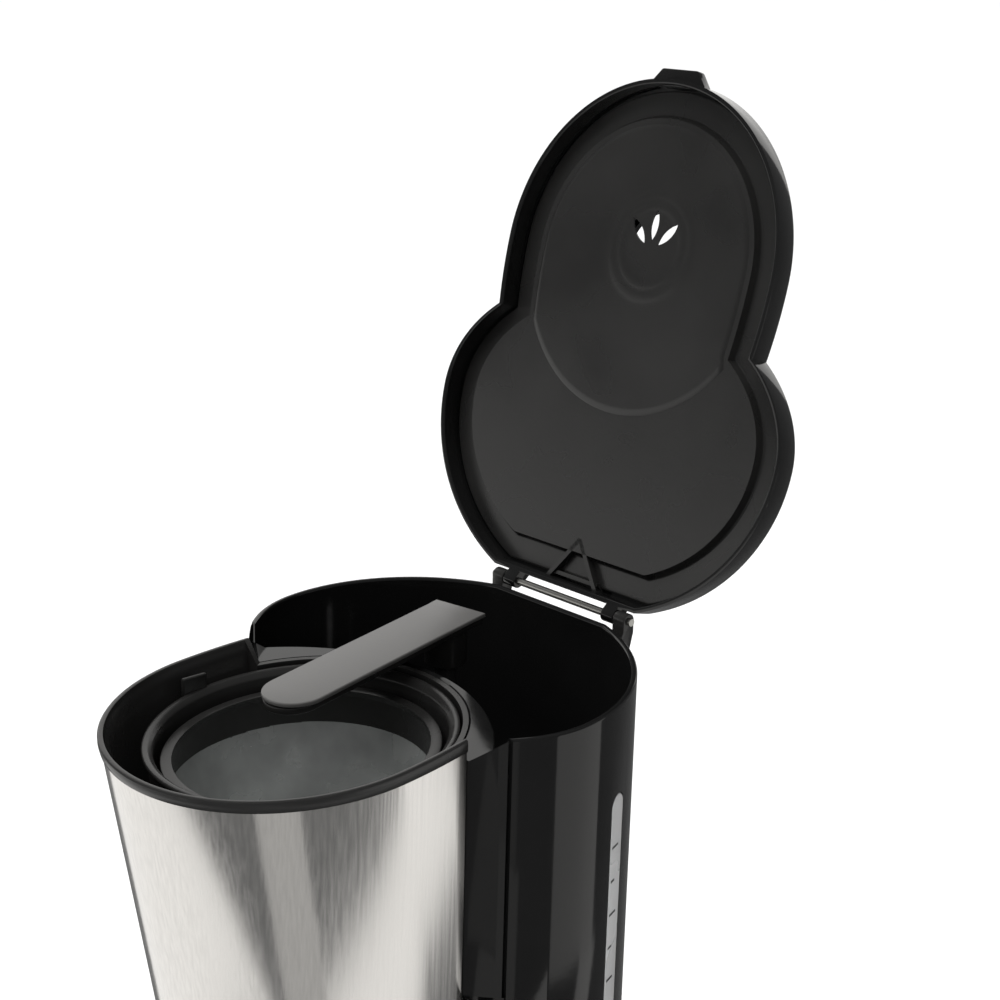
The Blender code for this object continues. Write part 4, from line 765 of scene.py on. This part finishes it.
def base():
    line = rounded([(-WALL, BASE_Z - WALL), (-WALL, BASE_BOTTOM_Z), (0, BASE_BOTTOM_Z), (0, BASE_Z - 2),
                    (-.6, BASE_Z - .6), (-2.0, BASE_Z)], .6, closed=False)
    made = raw("base_housing", *loft([at(base_outline(g), z) for g, z in line]))
    tools = [prism("hole", arc((0, BREW_Y), 53.0, 0, 357, 120), BASE_Z - 9, BASE_Z + 9)]
    tools.append(box("slot", (-10.5, BASE_FLAT_Y - 5, 12), (10.5, BASE_FLAT_Y + 6, 28), rim=0))
    stand = Matrix.Translation((0, BASE_FLAT_Y, 35)) @ Matrix.Rotation(math.pi / 2, 4, 'X')
    tools.append(prism("lens", arc((0, 0), 2.6, 0, 345, 24), -6, 6, stand))
    for x, y, r in ((26.0, 32.0, 12.6), (-20.5, 33.0, 12.0)):
        tools.append(prism("pass", arc((x, y), r, 0, 350, 36), BASE_Z - 9, BASE_Z + 9))
    y = REAR_Y + 71.0 * math.sqrt(1 - (38.0 / 87.0) ** 2)
    normal = Vector((-38.0 / 87.0 ** 2, (y - REAR_Y) / 71.0 ** 2, 0))
    gland = Matrix.Translation((-38.0, y, 15.0)) @ normal.to_track_quat('Z', 'X').to_matrix().to_4x4()
    tools.append(prism("gland", arc((0, 0), 4.6, 0, 345, 24), -9, 9, gland))
    combine(made, tools)
    dress(made, "machine", "gloss_black", "base_shell")
    z = 45.6
    profile = [(0, z - .5), (53, z - .5), (54, z), (56.5, z), (57, z - .5), (57, BASE_Z + 1.6),
               (52.7, BASE_Z + 1.6), (52.7, BASE_Z - 2.4), (51, BASE_Z - 2.4), (51, BASE_Z - .4),
               (0, BASE_Z - .4)]
    dress(turned("hot_plate", profile), "machine", "plate_coat", "warming_plate")


def carafe():
    z = CARAFE_Z
    outer = [(47.0, 113.0), (45.4, 106.0), (50.0, 92.0), (58.5, 74.0), (62.0, 52.0), (61.0, 28.0),
             (56.0, 8.0), (50.0, .8), (44.0, 0.0)]
    inner = [(40.0, 3.4), (48.8, 3.0), (54.2, 9.0), (59.2, 28.4), (60.2, 52.0), (56.8, 73.2), (48.4, 91.2),
             (43.4, 105.6), (45.0, 113.4)]
    skin = [tuple(p) for p in curve_through(outer, 5)]
    hollow = [tuple(p) for p in curve_through(inner, 5)]
    line = [(0, 3.4)] + hollow + skin + [(0, 1.6)]
    made = turned("carafe_vessel", [(r, z + h) for r, h in line], radius=.05)
    dress(made, "carafe", "glass", "carafe_glass")
    low, high = z + 96, z + 116
    collar = [(48, high), (50.4, high), (51.6, high - 2), (53, low), (50.6, low), (48.4, low + 10)]
    made = turned("carafe_collar", collar, radius=.8)
    post = box("post", (-7, BREW_Y - 58, low + 1), (7, BREW_Y - 50.4, high - 3), rim=.8)
    combine(made, [post], 'UNION')
    dress(made, "carafe", "satin_black", "carafe_band")
    y, t = BREW_Y - 58 - GAP, z + 114
    outside = curve_through([(y, t), (y - 28, t + 1), (y - 42, t - 6), (y - 46, t - 24), (y - 42, t - 60),
                             (y - 32, t - 88), (y - 26, t - 92)], 8)
    inside = curve_through([(y - 21, t - 88), (y - 22, t - 82), (y - 28, t - 58), (y - 31, t - 30),
                            (y - 27, t - 18), (y - 18, t - 16), (y, t - 17)], 8)
    shape = [tuple(p) for p in outside + inside]
    stand = Matrix(((0, 0, 1, 0), (1, 0, 0, 0), (0, 1, 0, 0), (0, 0, 0, 1)))
    made = soften(prism("carafe_grip", shape, -9, 9, stand), 3.4, 6, 60)
    made.data.shade_smooth()
    dress(made, "carafe", "satin_black", "carafe_handle")
    profile = [(12.0, 135.1), (14.0, 132.8), (15.0, 129.0), (40.0, 123.0), (46.6, 118.0), (47.2, 116.6),
               (46.6, 113.8), (44.4, 113.8), (42.8, 108.0), (41.0, 108.0), (41.0, 115.4), (38.6, 120.4),
               (12.6, 126.0), (6.4, 126.0), (5.0, 128.0), (5.0, 135.1)]
    made = turned("carafe_cap", [(r, z + h) for r, h in profile], radius=1.2)
    dress(made, "carafe_lid_body", "satin_black", "carafe_lid")


column()
window()
hinge()
housing()
steel()
basket()
arm()
lid()
base()
carafe()

# Nodes that stay as they are get their slot's surface and smooth shading.
slots = {entry["node"]: entry["material_slot"] for entry in frame["record"]["subparts"]}
for name, node in frame["nodes"].items():
    if node.hide_render:
        continue
    node.data.materials.clear()
    node.data.materials.append(MATERIALS[slots[name]])
    node.data.shade_smooth()
    node.data.set_sharp_from_angle(angle=math.radians(35))


# ---- floor, light and camera --------------------------------------------------------------
def card(name, foot, head, radius, low, high, strength):
    """Curved white reflector, seen only in reflections, leaning from its angles at the foot to the head's."""
    columns, rows = 24, 16
    verts, faces = [], []
    for j in range(rows + 1):
        t = j / rows
        start, end = (a + (b - a) * t for a, b in zip(foot, head))
        for k in range(columns + 1):
            a = math.radians(start + (end - start) * k / columns)
            verts.append((radius * math.cos(a), radius * math.sin(a), low + (high - low) * t))
    for j in range(rows):
        for k in range(columns):
            a = j * (columns + 1) + k
            faces.append((a, a + 1, a + columns + 2, a + columns + 1))
    mesh = bpy.data.meshes.new(name)
    mesh.from_pydata(verts, [], faces)
    made = bpy.data.objects.new(name, mesh)
    bpy.context.scene.collection.objects.link(made)
    paint, tree, shader = nodes_of(name)
    shader.inputs["Base Color"].default_value = (0, 0, 0, 1)
    shader.inputs["Emission Color"].default_value = (1, .99, .97, 1)
    shader.inputs["Emission Strength"].default_value = strength
    mesh.materials.append(paint)
    made.visible_camera = False
    made.visible_diffuse = False
    made.visible_shadow = False
    made.visible_transmission = False


card("reflector_left_low", (175, 302), (175, 205), 1.62, -1.5, -.52, 1.05)
card("reflector_left", (190, 262), (190, 262), 1.6, -.5, .55, .95)
card("reflector_front", (301, 330), (301, 330), 1.6, -1.6, -.5, .45)
card("reflector_front_high", (293, 327), (293, 327), 1.6, -.48, .3, .33)
card("reflector_right_low", (-56, -4), (39, 56), 1.64, -1.5, -.5, 1.05)
card("reflector_right", (0, 52), (0, 52), 1.6, -.48, .5, .95)
card("reflector_back", (95, 185), (95, 185), 1.8, .35, 1.9, 1.0)

floor_mesh = bpy.data.meshes.new("floor")
floor_mesh.from_pydata([(-40, -40, 0), (40, -40, 0), (40, 40, 0), (-40, 40, 0)], [], [(0, 1, 2, 3)])
floor = bpy.data.objects.new("floor", floor_mesh)
bpy.context.scene.collection.objects.link(floor)
floor_mesh.materials.append(surface("pale_floor", *grey(.9, .92), (.7, .8), 40, .02, patch=3.0))
floor.visible_glossy = False


def lamp(name, place, aim, size, watts):
    data = bpy.data.lights.new(name, 'AREA')
    data.shape = 'DISK'
    data.size = size
    data.energy = watts
    made = bpy.data.objects.new(name, data)
    bpy.context.scene.collection.objects.link(made)
    made.location = place
    made.rotation_euler = (Vector(aim) - Vector(place)).to_track_quat('-Z', 'Y').to_euler()
    made.visible_glossy = False
    return made


lamp("key", (-1.3, -1.4, 2.1), (0, 0, .25), 1.6, 14)
lamp("fill", (1.8, -1.0, 1.6), (0, 0, .25), 1.6, 8)
sky = bpy.data.lights.new("sky", 'SUN')
sky.energy = 3.5
sky.angle = math.radians(50)
overhead = bpy.data.objects.new("sky", sky)
bpy.context.scene.collection.objects.link(overhead)
overhead.rotation_euler = (math.radians(12), math.radians(-10), 0)
overhead.visible_glossy = False

world = bpy.data.worlds.new("studio")
bpy.context.scene.world = world
world.use_nodes = True
tree = world.node_tree
room = tree.nodes["Background"]
room.inputs["Color"].default_value = (1, 1, 1, 1)
path = tree.nodes.new("ShaderNodeLightPath")
level = tree.nodes.new("ShaderNodeMapRange")
level.inputs["To Min"].default_value = .17
level.inputs["To Max"].default_value = 1.0
tree.links.new(path.outputs["Is Camera Ray"], level.inputs["Value"])
tree.links.new(level.outputs["Result"], room.inputs["Strength"])
bpy.context.scene.view_settings.view_transform = 'Standard'
bpy.context.scene.view_settings.look = 'None'

CAMERA_Y = -436.2
azimuth, pitch, roll = math.radians(46.3), math.radians(16.76), math.radians(1.457)
ahead = Vector((-math.sin(azimuth), math.cos(azimuth), 0))
side = Vector((math.cos(azimuth), math.sin(azimuth), 0))
forward = ahead * math.cos(pitch) - Vector((0, 0, 1)) * math.sin(pitch)
above = side.cross(forward)
right = side * math.cos(roll) + above * math.sin(roll)
up = above * math.cos(roll) - side * math.sin(roll)
lens = bpy.data.cameras.new("camera")
lens.lens = 68.4
lens.sensor_width = 36.0
lens.clip_end = 200
camera = bpy.data.objects.new("camera", lens)
bpy.context.scene.collection.objects.link(camera)
turn = Matrix((right, up, -forward)).transposed().to_4x4()
camera.matrix_world = Matrix.Translation((.4993, (CAMERA_Y + SHIFT_Y) * MM, .5740)) @ turn
bpy.context.scene.camera = camera
